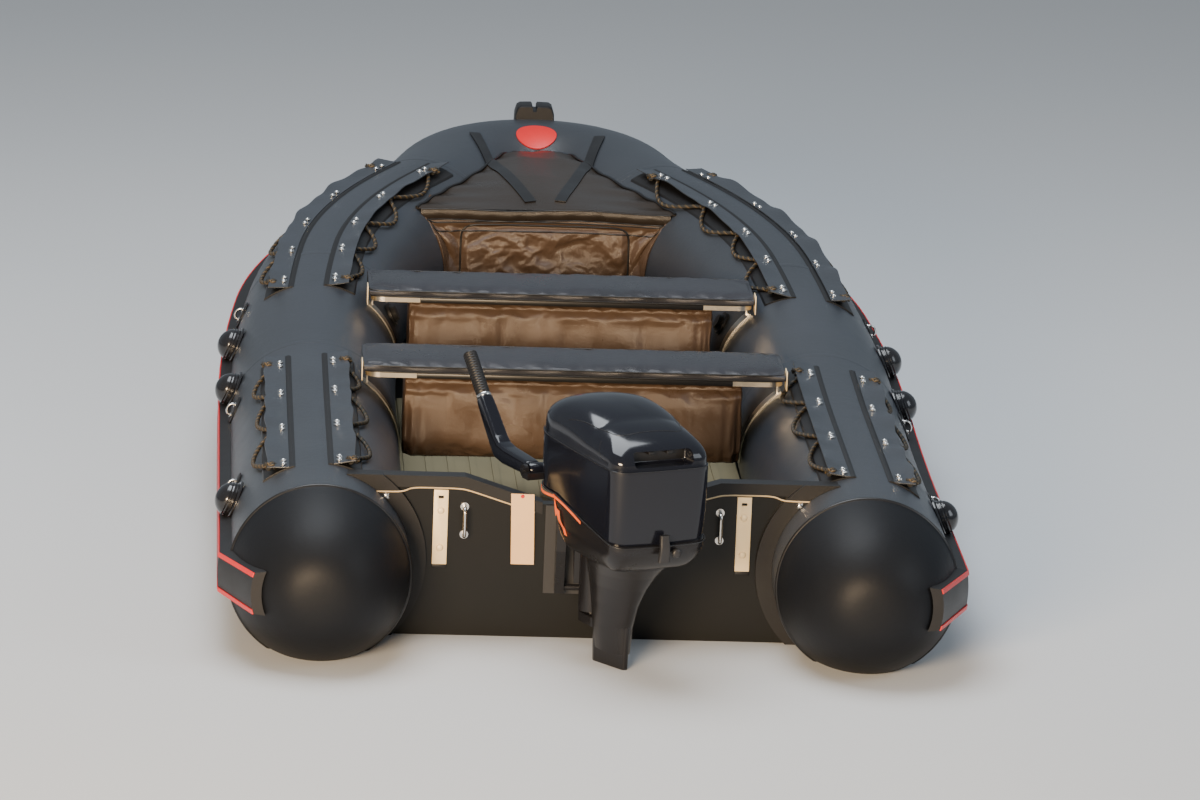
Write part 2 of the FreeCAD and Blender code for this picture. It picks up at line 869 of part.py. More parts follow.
def thwart_board(name, station, half, underside):
    """A bound box with rounded ends."""
    blank = doc.addObject("Part::Box", name + "_thwart_blank")
    inset_alias = "thwart_end_inset" if name == "rear" else "thwart_front_end_inset"
    blank.setExpression("Length", "(Sizes.tube_half_spacing - Sizes.%s) * 2" % inset_alias)
    blank.setExpression("Width", "Sizes.thwart_depth")
    blank.setExpression("Height", "Sizes.thwart_board_thickness")
    blank.Placement = Placement(Vector(-half, station, underside), Rotation())
    doc.recompute()
    rounded = doc.addObject("Part::Fillet", name + "_thwart_rounded")
    rounded.Base = blank
    upright = []
    for index, edge in enumerate(blank.Shape.Edges, start=1):
        run = edge.Vertexes[1].Point - edge.Vertexes[0].Point
        if abs(run.z) > 1e-6:
            upright.append((index, 40.0, 40.0))
    rounded.Edges = upright
    doc.recompute()
    keep(rounded, name + "_thwart_board")


def thwart_cushion(name, station, half, underside):
    low_z = underside + size("thwart_board_thickness") + GAP
    high_z = low_z + size("cushion_thickness")
    over = size("cushion_overlap")
    low = (-half - 6, station - over, low_z)
    high = (half + 6, station + size("thwart_depth") + over, high_z)
    feature(name + "_cushion", rounded_block(low, high, 10))


def thwart_bag(name, station, underside, end_gap, bag_depth):
    far_axis = tube_axis_at(station + size("thwart_depth"))[1]
    bag_half = far_axis.x - size("tube_radius") - end_gap
    top = underside - size("bag_wall_gap")
    low = (-bag_half, station + 8, top - bag_depth)
    high = (bag_half, station + size("thwart_depth") - 8, top)
    feature(name + "_seat_bag", rounded_block(low, high, 30))


def tube_axis_at(station):
    """The tube's centre beside a station: half breadth and rise."""
    low, high = 0.0, TUBE_LENGTH
    for _ in range(60):
        middle = (low + high) / 2
        if on_centreline(middle)[0].y < station:
            low = middle
        else:
            high = middle
    return low, on_centreline(low)[0]


def thwart_brackets(name, station, half, underside):
    """Alloy angles under the thwart's ends, each with a leg down the tube's inner side."""
    plate = size("thwart_bracket_plate")
    width = size("thwart_bracket_width")
    middle = station + size("thwart_depth") / 2
    distance, axis = tube_axis_at(middle)
    start = distance - width / 2
    inner = size("tube_radius") + GAP + 0.2
    seat_x = half - 6
    reach = (axis.x - seat_x) / inner
    meet = 180 - math.degrees(math.acos(reach))
    low = GAP + 0.2
    leg = swept(lambda at: band_profile(at, meet - 3, 182, low, low + plate), start, start + width)
    top = block((half - 120, middle - width / 2, underside - plate), (half + 2, middle + width / 2, underside - 0.1))
    meet_z = axis.z + inner * math.sin(math.radians(meet))
    web = block((seat_x - plate, middle - width / 2, meet_z - 4), (seat_x, middle + width / 2, underside - 0.1))
    bracket = clear_of_tube(fused([leg, top, web]))
    feature(name + "_thwart_brackets", joined(both_sides(solids_over(bracket, 1000)[0])))


def thwarts():
    for name, station, half, underside, end_gap, bag_depth in THWARTS:
        thwart_board(name, station, half, underside)
        thwart_cushion(name, station, half, underside)
        thwart_bag(name, station, underside, end_gap, bag_depth)
        thwart_brackets(name, station, half, underside)


# Bow dodger, its bag, and the bow fittings

# columns: share of the tube's length from stern to nose, angle on the tube, crown over the edge
DODGER_SECTIONS = [
    (0.7601, 125, 5),
    (0.7984, 125, 12),
    (0.8462, 125, 18),
    (0.8988, 125, 18),
    (0.9466, 129, 12),
    (0.9825, 132, 6),
]


def dodger_profile(share, angle, crown):
    """A sheet from tube to tube, square to the keel line, with a slight crown."""
    thick = size("dodger_thickness")
    edge = on_tube(share * TUBE_LENGTH, angle, -6)
    half, station, rise = edge.x, edge.y, edge.z
    lowered = Vector(0, 0, -thick)
    left = Vector(-half, station, rise)
    middle = Vector(0, station, rise + crown)
    outer = Part.Arc(left, middle, edge)
    inner = Part.Arc(edge + lowered, middle + lowered, left + lowered)
    right_end = Part.LineSegment(edge, edge + lowered)
    left_end = Part.LineSegment(left + lowered, left)
    return Part.Wire([item.toShape() for item in (outer, right_end, inner, left_end)])


def bow_dodger():
    wires = [dodger_profile(*row) for row in DODGER_SECTIONS]
    sheet_solid = clear_of_tube(Part.makeLoft(wires, True, True))
    pieces = solids_over(sheet_solid, 1000)
    feature("bow_dodger", max(pieces, key=lambda solid: solid.Volume))


def bow_bag():
    hem = on_tube(DODGER_SECTIONS[0][0] * TUBE_LENGTH, DODGER_SECTIONS[0][1], 0).y + 6
    low = (-380, hem, size("bow_bag_foot"))
    high = (380, hem + size("bow_bag_depth"), size("bow_bag_top"))
    bag = clear_of_tube(block(low, high))
    feature("bow_bag", max(bag.Solids, key=lambda solid: solid.Volume))


def bow_fairlead():
    """A rubber block with a notch for the bow line, seated on the tube's crown."""
    half = size("fairlead_width") / 2
    station = BOW.y + 6
    crown = BOW.z + size("tube_radius")
    top = crown + size("fairlead_rise")
    foot = crown - 30
    points = [
        (-half, foot),
        (half, foot),
        (half * 0.82, top),
        (20, top),
        (9, top - 20),
        (-9, top - 20),
        (-20, top),
        (-half * 0.82, top),
    ]
    solid = prism([(x, station, z) for x, z in points], (0, size("fairlead_length"), 0))
    pieces = solids_over(clear_of_tube(solid), 1000)
    feature("bow_fairlead", max(pieces, key=lambda item: item.Volume))


def bow_patch():
    """A plain oval patch on the aft side of the bow tube's crown."""
    lean = Rotation(Vector(1, 0, 0), size("bow_patch_lean"))
    long_axis = max(size("bow_patch_half_length"), size("bow_patch_half_width"))
    short_axis = min(size("bow_patch_half_length"), size("bow_patch_half_width"))
    oval = Part.Ellipse(Vector(0, 0, 0), long_axis, short_axis).toShape()
    radius = size("tube_radius")
    column = Part.Face(Part.Wire(oval)).extrude(Vector(0, 0, radius * 0.5))
    column.Placement = Placement(BOW + lean.multVec(Vector(0, 0, radius * 0.65)), lean)
    skin = whole_loop(tube_of(size("tube_radius") + GAP + size("bow_patch_thickness")))
    patch = clear_of_tube(column.common(skin))
    feature("bow_patch", max(patch.Solids, key=lambda solid: solid.Volume))


# Outboard: clamp bracket on the transom

def clamp_bracket():
    """Two hooked side plates joined under the transom's edge by a tie and the tilt tube."""
    inner = size("clamp_plate_inner")
    thick = size("clamp_plate_thickness")
    aft = -size("pad_thickness")
    back = aft - size("clamp_aft_depth")
    top = size("transom_cut_top") + 1
    hook_top = size("tilt_axis_rise") - 4
    front = size("transom_thickness") + size("clamp_hook_reach")
    hook = front - size("clamp_hook_thickness")
    foot = size("clamp_foot")
    outline = [
        (back + 34, foot),
        (aft, foot),
        (aft, top),
        (hook, top),
        (hook, size("clamp_hook_foot")),
        (front, size("clamp_hook_foot")),
        (front, hook_top - 24),
        (front - 13, hook_top),
        (back + 10, hook_top),
        (back, hook_top - 16),
        (back, foot + 120),
    ]
    plate = prism([(inner, y, z) for y, z in outline], (thick, 0, 0))
    axis = Vector(inner, size("tilt_axis_station"), size("tilt_axis_rise"))
    boss = Part.makeCylinder(size("tilt_boss_radius"), thick, axis, Vector(1, 0, 0))
    under = block((inner - 1, -200, 0), (inner + thick + 1, 200, top))
    plate = plate.fuse(boss.cut(under)).removeSplitter()
    bore = Part.makeCylinder(size("tilt_tube_radius") + GAP, thick + 2, axis - Vector(1, 0, 0), Vector(1, 0, 0))
    plate = plate.cut(bore)
    screw_bore = Part.makeCylinder(
        size("clamp_screw_radius") + GAP,
        size("clamp_hook_thickness") + 2,
        Vector(inner + thick / 2, hook - 1, size("clamp_screw_height")),
        Vector(0, 1, 0),
    )
    plate = plate.cut(screw_bore)
    tie = Part.makeCylinder(8, 2 * inner, Vector(-inner, back + 48, foot + 14), Vector(1, 0, 0))
    feature("clamp_bracket", fused(both_sides(plate) + [tie]))


def tilt_tube():
    """The tube that the motor tilts on, through both clamp plates."""
    tube = doc.addObject("Part::Cylinder", "tilt_tube")
    tube.setExpression("Radius", "Sizes.tilt_tube_radius")
    tube.setExpression("Height", "(Sizes.clamp_plate_inner + Sizes.clamp_plate_thickness + 9) * 2")
    half = size("clamp_plate_inner") + size("clamp_plate_thickness") + 9
    place = Vector(-half, size("tilt_axis_station"), size("tilt_axis_rise"))
    keep(tube, "tilt_tube", Placement(place, Rotation(Vector(0, 1, 0), 90)))


def clamp_screws():
    """Two screws with a pressure pad and a T handle each."""
    radius = size("clamp_screw_radius")
    x = size("clamp_plate_inner") + size("clamp_plate_thickness") / 2
    z = size("clamp_screw_height")
    face = size("transom_thickness") + size("pad_thickness") + GAP
    tail = size("transom_thickness") + size("clamp_hook_reach") + 34
    shank = Part.makeCylinder(radius, tail - face, Vector(x, face, z), Vector(0, 1, 0))
    pad = Part.makeCylinder(radius * 2.1, 8, Vector(x, face, z), Vector(0, 1, 0))
    handle = Part.makeCylinder(5, 84, Vector(x - 42, tail - 7, z), Vector(1, 0, 0))
    screw = fused([shank, pad, handle])
    feature("clamp_screws", joined(both_sides(screw)))


# Outboard: swivel bracket, between the clamp plates and the steering pilot

def swivel_bracket():
    radius = size("swivel_radius")
    aft = -size("steer_axis_aft")
    foot = size("swivel_foot")
    head = size("swivel_head")
    column = Part.makeCylinder(radius, head - foot, Vector(0, aft, foot))
    tilt_y = size("tilt_axis_station")
    tilt_z = size("tilt_axis_rise")
    half = size("clamp_plate_inner") - 6
    knuckle = Part.makeCylinder(20, 2 * half, Vector(-half, tilt_y, tilt_z), Vector(1, 0, 0))
    arm_points = [
        (aft, head - 4),
        (tilt_y - 4, tilt_z + 19),
        (tilt_y - 12, tilt_z - 14),
        (-22, tilt_z - 20),
        (-40, 300),
        (aft, 180),
    ]
    arm = prism([(-half + 14, y, z) for y, z in arm_points], (2 * half - 28, 0, 0))
    window = prism([(-half - 1, y, z) for y, z in ((-62, 330), (-90, 345), (-90, 250))], (2 * half + 2, 0, 0))
    stop_pad = block((-30, aft, foot + 6), (30, aft + radius + 16, foot + 40))
    bracket = fused([column, knuckle, arm.cut(window), stop_pad])
    bore = Part.makeCylinder(size("swivel_bore_radius"), head - foot + 2, Vector(0, aft, foot - 1))
    pin_start = Vector(-half - 1, tilt_y, tilt_z)
    pin = Part.makeCylinder(size("tilt_tube_radius") + GAP, 2 * half + 2, pin_start, Vector(1, 0, 0))
    feature("swivel_bracket", bracket.cut(bore).cut(pin))


# Outboard: everything that steers is modelled about the steering axis, looking ahead,
# and then turned to the angle at which it rests

TURNED = Placement(Vector(0, -size("steer_axis_aft"), 0), Rotation(Vector(0, 0, 1), size("steer_rest_angle")))


def steering_pilot():
    """The pilot shaft with its upper yoke, lower yoke and tiller bracket."""
    foot = size("swivel_foot")
    head = size("swivel_head")
    shaft = Part.makeCylinder(size("pilot_radius"), head - foot + 40, Vector(0, 0, foot - 20))
    upper = rounded_block((-62, -60, head + 6), (62, 58, head + 26), 18, 2)
    lower = rounded_block((-30, -64, foot - 30), (30, 26, foot - 6), 12, 2)
    width = size("tiller_arm_width")
    x = -size("tiller_offset")
    hinge_y = size("tiller_hinge_reach")
    hinge_z = size("tiller_hinge_rise")
    low_z = head + 8
    inner_x = x + width / 2 + 2
    far_y = hinge_y - 20
    near_y = far_y - 10
    arm_points = [(-62, 30), (0, 58), (inner_x + 13, far_y - 4), (inner_x - 7, far_y - 4), (inner_x - 7, 60)]
    arm = prism([(px, py, low_z) for px, py in arm_points], (0, 0, 18))
    riser = block((inner_x, near_y, low_z), (inner_x + 10, far_y, hinge_z))
    high_z = hinge_z - 19
    cheeks = [riser]
    for low in (inner_x, x - width / 2 - 12):
        cheek = block((low, near_y, high_z), (low + 10, hinge_y + 4, hinge_z))
        round_end = Part.makeCylinder(17, 10, Vector(low, hinge_y, hinge_z), Vector(1, 0, 0))
        cheeks.append(cheek.fuse(round_end))
    bridge = block((x - width / 2 - 12, near_y, high_z), (inner_x + 10, near_y + 6, high_z + 18))
    pin = Part.makeCylinder(7, width + 34, Vector(x - width / 2 - 17, hinge_y, hinge_z), Vector(1, 0, 0))
    pilot = fused([shaft, upper, lower, arm, bridge] + cheeks + [pin]).cut(leg_housing())
    feature("steering_pilot", max(pilot.Solids, key=lambda solid: solid.Volume), TURNED)


def leg_wire(rise, width, nose, tail):
    """A leg section: round nose and a narrow tail."""
    half = width / 2
    end = min(half, 9)
    nose_arc = Part.Arc(Vector(-half, nose - half, rise), Vector(0, nose, rise), Vector(half, nose - half, rise))
    tail_arc = Part.Arc(Vector(end, tail + end, rise), Vector(0, tail, rise), Vector(-end, tail + end, rise))
    edges = [
        nose_arc.toShape(),
        Part.LineSegment(Vector(half, nose - half, rise), Vector(end, tail + end, rise)).toShape(),
        tail_arc.toShape(),
        Part.LineSegment(Vector(-end, tail + end, rise), Vector(-half, nose - half, rise)).toShape(),
    ]
    return Part.Wire(edges)


def leg_housing():
    """The driveshaft housing, tapering from the tray to the cavitation plate."""
    back = -size("leg_set_back")
    plate_z = size("cavitation_plate_rise")
    top = size("tray_foot") - 0.2
    # columns: rise, width, nose and tail from the leg's centre
    sections = [
        (top, size("leg_top_width"), 62, -118),
        (150, size("leg_top_width") * 0.86, 56, -96),
        (plate_z + 90, size("leg_low_width"), 60, -84),
        (plate_z, size("leg_low_width"), 62, -100),
    ]
    wires = [leg_wire(rise, width, back + nose, back + tail) for rise, width, nose, tail in sections]
    return Part.makeLoft(wires, True, True)


def motor_leg():
    """Driveshaft housing with the cavitation plate."""
    back = -size("leg_set_back")
    plate_z = size("cavitation_plate_rise")
    thick = size("cavitation_plate_thickness")
    outline = leg_wire(plate_z - thick, 190, back + 66, back - 225)
    plate = Part.Face(outline).extrude(Vector(0, 0, thick))
    feature("motor_leg", fused([leg_housing(), plate]), TURNED)


def gearcase():
    """Torpedo, strut and skeg."""
    back = -size("leg_set_back")
    shaft_z = size("shaft_rise")
    radius = size("gearcase_radius")
    plate_bottom = size("cavitation_plate_rise") - size("cavitation_plate_thickness") - 0.1
    nose = back + 92
    tail = back - size("gearcase_tail")
    edges = [
        Part.Arc(Vector(0, nose, 0), Vector(radius * 0.72, nose - 26, 0), Vector(radius, nose - 78, 0)),
        Part.LineSegment(Vector(radius, nose - 78, 0), Vector(radius * 0.82, tail, 0)),
        Part.LineSegment(Vector(radius * 0.82, tail, 0), Vector(0, tail, 0)),
        Part.LineSegment(Vector(0, tail, 0), Vector(0, nose, 0)),
    ]
    wire = Part.Wire([edge.toShape() for edge in edges])
    torpedo = Part.Face(wire).revolve(Vector(0, 0, 0), Vector(0, 1, 0), 360)
    torpedo.translate(Vector(0, 0, shaft_z))
    strut = Part.makeLoft(
        [
            leg_wire(plate_bottom, size("leg_low_width"), back + 62, back - 96),
            leg_wire(shaft_z + 6, size("leg_low_width") * 0.72, back + 66, back - 92),
        ],
        True,
        True,
    )
    half = size("skeg_thickness") / 2
    skeg_points = [
        (-half, back + 54, shaft_z - 24),
        (-half, back + 4, size("skeg_foot") + 14),
        (-half, back - 30, size("skeg_foot")),
        (-half, back - 68, size("skeg_foot")),
        (-half, back - 84, shaft_z - 24),
    ]
    skeg = prism(skeg_points, (2 * half, 0, 0))
    reach = size("propeller_gap") + size("propeller_hub_length") - 10
    shaft_start = Vector(0, tail + 10, shaft_z)
    shaft = Part.makeCylinder(size("propeller_shaft_radius"), reach + 10, shaft_start, Vector(0, -1, 0))
    feature("gearcase", fused([torpedo, strut, skeg, shaft]), TURNED)


def propeller():
    """Hub with three raked blades."""
    back = -size("leg_set_back") - size("gearcase_tail") - size("propeller_gap")
    shaft_z = size("shaft_rise")
    hub_radius = size("propeller_hub_radius")
    length = size("propeller_hub_length")
    hub = Part.makeCone(hub_radius, hub_radius * 0.8, length, Vector(0, back, 0), Vector(0, -1, 0))
    hub = hub.fuse(Part.makeCone(13, 7, 20, Vector(0, back - length, 0), Vector(0, -1, 0)))
    tip = size("propeller_radius")
    blade_length = tip - 12
    # columns: radius, half chord, half thickness, pitch from the disc
    sections = [(24, 30, 4.2, 52), (62, 52, 3.0, 34), (98, 46, 2.2, 24), (tip, 22, 1.4, 20)]
    wires = []
    for reach, chord, thick, pitch in sections:
        corners = [(-chord, 0), (0, thick), (chord, 0), (0, -thick)]
        turn = math.radians(pitch)
        points = []
        for along, across in corners:
            x = along * math.cos(turn) - across * math.sin(turn)
            y = along * math.sin(turn) + across * math.cos(turn)
            points.append((x, y + back - length / 2, reach))
        wires.append(polygon(points))
    blade = Part.makeLoft(wires, True, True)
    disc = Part.makeCylinder(blade_length + 12, length - 2, Vector(0, back - 1, 0), Vector(0, -1, 0))
    blade = blade.common(disc)
    blades = []
    for index in range(3):
        turned = blade.copy()
        turned.rotate(Vector(0, 0, 0), Vector(0, 1, 0), 120 * index)
        blades.append(turned)
    bore = Part.makeCylinder(
        size("propeller_shaft_radius") + GAP, length - 10 + GAP, Vector(0, back, 0), Vector(0, -1, 0)
    )
    whole = fused([hub] + blades).cut(bore)
    whole.translate(Vector(0, 0, shaft_z))
    feature("propeller", whole, TURNED)


# Outboard: lower tray and cowl share one plan outline

def seam_rise(y):
    """Height of the seam between tray and cowl: near level ahead of its knee, falling behind."""
    knee = -size("seam_knee_aft")
    rise = size("seam_knee_rise")
    if y >= knee:
        far_y, far_rise = size("cowl_nose"), size("seam_front_rise")
    else:
        far_y, far_rise = -size("cowl_tail"), size("seam_rear_rise")
    return rise + (far_rise - rise) * (y - knee) / (far_y - knee)


def plan_wire(rise, inset=0.0, scale=1.0):
    """The motor's outline from above: round nose, near-straight sides, firm rear corners."""
    half = (size("cowl_half_width") - inset) * scale
    nose = (size("cowl_nose") - inset) * scale
    tail = -(size("cowl_tail") - inset) * scale
    corner = size("cowl_rear_corner") - inset * 0.4
    start = nose - half
    rear_half = half * 0.93
    p = [
        Vector(half, start, rise),
        Vector(rear_half, tail + corner, rise),
        Vector(rear_half - corner, tail, rise),
        Vector(-rear_half + corner, tail, rise),
        Vector(-rear_half, tail + corner, rise),
        Vector(-half, start, rise),
    ]
    knee = corner * 0.293
    edges = [
        Part.LineSegment(p[0], p[1]),
        Part.Arc(p[1], Vector(rear_half - knee, tail + knee, rise), p[2]),
        Part.Arc(p[2], Vector(0, tail - 5, rise), p[3]),
        Part.Arc(p[3], Vector(-rear_half + knee, tail + knee, rise), p[4]),
        Part.LineSegment(p[4], p[5]),
        Part.Arc(p[5], Vector(0, nose, rise), p[0]),
    ]
    return Part.Wire([edge.toShape() for edge in edges])


def side_prism(points, half_width):
    """A side outline, lines or arcs through three points, as wide as asked."""
    edges = []
    start = points[0]
    index = 1
    while index < len(points):
        item = points[index]
        if len(item) == 4:
            middle = Vector(-half_width, item[0], item[1])
            end = Vector(-half_width, item[2], item[3])
            edges.append(Part.Arc(Vector(-half_width, *start), middle, end).toShape())
            start = (item[2], item[3])
        else:
            edges.append(Part.LineSegment(Vector(-half_width, *start), Vector(-half_width, *item)).toShape())
            start = item
        index += 1
    return Part.Face(Part.Wire(edges)).extrude(Vector(2 * half_width, 0, 0))


def motor_tray():
    """The lower cowl: a deep rear bowl under the engine and a shallow nose."""
    nose = size("cowl_nose") + 10
    tail = -size("cowl_tail") - 10
    knee = -size("seam_knee_aft")
    gap = size("cowl_seam_gap") / 2
    foot = size("tray_foot")
    column = Part.Face(plan_wire(foot - 20, 4)).extrude(Vector(0, 0, 260))
    side = side_prism(
        [
            (nose, seam_rise(nose) - gap),
            (nose, seam_rise(nose) - 14),
            (-40, 437),
            (-62, 431, -66, 412),
            (-66, foot + 22),
            (-72, foot + 6, -88, foot),
            (-290, foot),
            (-340, foot + 14, tail, foot + 52),
            (tail, seam_rise(tail) - gap),
            (knee, seam_rise(knee) - gap),
            (nose, seam_rise(nose) - gap),
        ],
        200,
    )
    front = prism(
        [(-86, 0, foot - 1), (86, 0, foot - 1), (130, 0, foot + 40), (152, 0, foot + 74), (152, 0, 480), (-152, 0, 480),
         (-152, 0, foot + 74), (-130, 0, foot + 40)],
        (0, -420, 0),
    )
    front = front.fuse(block((-152, -1, foot - 1), (152, 180, 480)))
    feature("motor_tray", column.common(side).common(front), TURNED)


def cowl_form(inset):
    """The cowl's outer form, or its hollow when inset by the wall."""
    top = size("cowl_top_rise") - inset
    nose = size("cowl_nose") - inset
    tail = -size("cowl_tail") + inset
    knee = -size("seam_knee_aft")
    gap = size("cowl_seam_gap") / 2 - inset * 4
    low = size("seam_rear_rise") - 40
    column = Part.makeLoft(
        [plan_wire(low, inset), plan_wire(560, inset), plan_wire(top + 20, inset, 0.9)],
        True,
        True,
    )
    side = side_prism(
        [
            (nose + 20, seam_rise(nose + 20) + gap),
            (nose + 20, 560),
            (nose - 6, top - 60, nose - 62, top - 22),
            (-60, top + 3, -215, top - 22),
            (tail + 52, top - 56, tail + 12, top - 122),
            (tail - 20, top - 140),
            (tail - 20, seam_rise(tail - 20) + gap),
            (knee, seam_rise(knee) + gap),
            (nose + 20, seam_rise(nose + 20) + gap),
        ],
        220,
    )
    half = size("cowl_half_width") - inset
    shoulder = top - 40
    front_edges = [
        Part.LineSegment(Vector(-half - 20, 200, 300), Vector(half + 20, 200, 300)),
        Part.LineSegment(Vector(half + 20, 200, 300), Vector(half + 20, 200, shoulder - 60)),
        Part.Arc(Vector(half + 20, 200, shoulder - 60), Vector(half - 14, 200, shoulder), Vector(half - 66, 200, top - 8)),
        Part.Arc(Vector(half - 66, 200, top - 8), Vector(0, 200, top + 2), Vector(-half + 66, 200, top - 8)),
        Part.Arc(Vector(-half + 66, 200, top - 8), Vector(-half + 14, 200, shoulder), Vector(-half - 20, 200, shoulder - 60)),
        Part.LineSegment(Vector(-half - 20, 200, shoulder - 60), Vector(-half - 20, 200, 300)),
    ]
    front = Part.Face(Part.Wire([edge.toShape() for edge in front_edges])).extrude(Vector(0, -640, 0))
    return column.common(side).common(front)


def cowl():
    shell = cowl_form(0).cut(cowl_form(size("cowl_wall")))
    recess = prism(
        [(-78, 0, 562), (78, 0, 562), (84, 0, 606), (-84, 0, 606)],
        (0, -60, 0),
    )
    recess.translate(Vector(0, -size("cowl_tail") + 24, 0))
    floor = prism([(-84, 0, 556), (84, 0, 556), (90, 0, 612), (-90, 0, 612)], (0, -6, 0))
    floor.translate(Vector(0, -size("cowl_tail") + 34, 0))
    whole = shell.cut(recess)
    back_plate = floor.common(cowl_form(size("cowl_wall") - 1))
    whole = whole.fuse(back_plate.Solids).removeSplitter() if back_plate.Solids else whole
    feature("cowl", max(whole.Solids, key=lambda solid: solid.Volume), TURNED)


def powerhead():
    """The engine, a plain block of its real size under the cowl."""
    half = 92
    front = 62
    rear = -290
    top = 606
    lift = size("cowl_seam_gap")
    knee = -size("seam_knee_aft")
    points = [
        (-half, front, seam_rise(front) + lift),
        (-half, front, top - 50),
        (-half, front - 60, top),
        (-half, rear + 40, top),
        (-half, rear, top - 60),
        (-half, rear, seam_rise(rear) + lift),
        (-half, knee, seam_rise(knee) + lift),
    ]
    feature("powerhead", prism(points, (2 * half, 0, 0)), TURNED)


def cowl_latch():
    """The rear latch lever and its round knob, seated on the tray."""
    rear = -size("cowl_tail") - 1
    seat = Part.Face(plan_wire(300, 4 - GAP)).extrude(Vector(0, 0, 90))
    lever = rounded_block((-16, rear - 16, 334), (16, rear + 14, 366), 6, 1).cut(seat)
    knob = Part.makeCylinder(11, 28, Vector(36, rear + 14, 350), Vector(0, -1, 0)).cut(seat)
    feature("cowl_latch", joined(lever.Solids + knob.Solids), TURNED)


# Outboard: tiller

def tiller_arm():
    """A short link from the hinge, an elbow, and the long arm up to the grip."""
    x = -size("tiller_offset")
    hinge = (size("tiller_hinge_reach"), size("tiller_hinge_rise"))
    width = size("tiller_arm_width")
    pitch = math.radians(size("tiller_arm_pitch"))
    link = size("tiller_link_length")
    length = size("tiller_arm_length")
    eye = Part.makeCylinder(19, width - 6, Vector(x - width / 2 + 3, *hinge), Vector(1, 0, 0))
    elbow = (hinge[0] + link, hinge[1] + 6)
    end = (elbow[0] + length * math.cos(pitch), elbow[1] + length * math.sin(pitch))
    across = (-math.sin(pitch), math.cos(pitch))
    outline = [
        (hinge[0], hinge[1] - 19),
        (elbow[0] + 6, elbow[1] - 27),
        (end[0] - across[0] * 17, end[1] - across[1] * 17),
        (end[0] + across[0] * 17, end[1] + across[1] * 17),
        (elbow[0] - 12, elbow[1] + 22),
        (hinge[0], hinge[1] + 19),
    ]
    arm = prism([(x - width / 2 + 3, y, z) for y, z in outline], (width - 6, 0, 0))
    bore = Part.makeCylinder(7 + GAP, width + 4, Vector(x - width / 2 - 2, *hinge), Vector(1, 0, 0))
    feature("tiller_arm", fused([eye, arm]).cut(bore), TURNED)
    return end, (math.cos(pitch), math.sin(pitch))


def tiller_grip(end, direction):
    x = -size("tiller_offset")
    radius = size("grip_radius")
    length = size("grip_length")
    start = Vector(x, end[0] + direction[0] * 0.3, end[1] + direction[1] * 0.3)
    axis = Vector(0, direction[0], direction[1])
    core = Part.makeCylinder(radius - 1.5, length, start, axis)
    rings = [core]
    for index in range(7):
        place = start + axis * (length * (index + 0.3) / 7)
        rings.append(Part.makeCylinder(radius, length / 14, place, axis))
    feature("tiller_grip", fused(rings), TURNED)


def outboard():
    clamp_bracket()
    tilt_tube()
    clamp_screws()
    swivel_bracket()
    steering_pilot()
    motor_leg()
    gearcase()
    propeller()
    motor_tray()
    powerhead()
    cowl_latch()
    cowl()
    end, direction = tiller_arm()
    tiller_grip(end, direction)


def boat():
    buoyancy_tube()
    stern_cones()
    rubbing_strake()
    strake_lines()
    line_flaps("outer_line_flaps", size("outer_flap_angle"))
    line_flaps("inner_line_flaps", size("inner_flap_angle"))
    grab_lines("outer_grab_line", size("outer_flap_angle"), -size("grab_line_swing"))
    grab_lines("inner_grab_line", size("inner_flap_angle"), size("grab_line_swing"))
    side_domes()
    side_rings()
    inflation_valves()
    rigid_hull()
    deck_floor()
    keel_guard()
    transom_board()
    transom_top_trim()
    transom_collars()
    wheel_brackets()
    tow_eyes()
    motor_pads()
    thwarts()
    bow_dodger()
    bow_bag()
    bow_fairlead()
    bow_patch()


boat()
outboard()
doc.recompute()

for item in doc.Objects:
    if "Invalid" in item.State or "Error" in item.State:
        raise RuntimeError("failed: " + item.Label)
for item in nodes:
    if item.Shape.isNull() or not item.Shape.isValid():
        raise RuntimeError("bad shape: " + item.Label)
os.makedirs("parts", exist_ok=True)
for item in nodes:
    item.Shape.exportStep(os.path.join("parts", item.Label + ".step"))
print(len(nodes), "sub-parts written")
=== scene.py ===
import json
import math

import bmesh
import bpy
from mathutils import Matrix, Vector, noise
from mathutils.bvhtree import BVHTree

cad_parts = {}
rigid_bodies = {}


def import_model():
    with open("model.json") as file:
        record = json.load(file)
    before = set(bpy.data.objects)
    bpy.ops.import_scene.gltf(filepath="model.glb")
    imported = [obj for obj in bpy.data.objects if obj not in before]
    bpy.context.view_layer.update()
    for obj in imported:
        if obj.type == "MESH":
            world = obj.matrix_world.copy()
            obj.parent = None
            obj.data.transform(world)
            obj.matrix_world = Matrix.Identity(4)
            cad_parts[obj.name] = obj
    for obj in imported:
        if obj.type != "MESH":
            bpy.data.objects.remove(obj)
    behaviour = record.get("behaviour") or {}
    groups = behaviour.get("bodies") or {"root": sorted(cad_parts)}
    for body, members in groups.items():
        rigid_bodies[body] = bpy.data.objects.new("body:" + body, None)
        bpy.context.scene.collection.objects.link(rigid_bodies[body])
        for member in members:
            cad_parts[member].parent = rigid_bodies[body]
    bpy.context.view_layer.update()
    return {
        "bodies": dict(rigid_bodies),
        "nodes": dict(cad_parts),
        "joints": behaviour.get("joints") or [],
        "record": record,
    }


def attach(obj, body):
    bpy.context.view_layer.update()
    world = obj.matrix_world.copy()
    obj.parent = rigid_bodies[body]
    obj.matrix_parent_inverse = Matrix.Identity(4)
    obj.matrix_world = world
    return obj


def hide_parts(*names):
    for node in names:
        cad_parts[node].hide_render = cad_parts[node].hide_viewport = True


# Inflatable rib boat afloat, seen from astern. Metres; +Y is the bow, +X starboard, and the
# water's surface is z = 0.

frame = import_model()
nodes = frame["nodes"]

# Blender's vector noise starts from the clock unless it is given a seed
noise.seed_set(3)


# Material helpers: node groups for what several finishes share

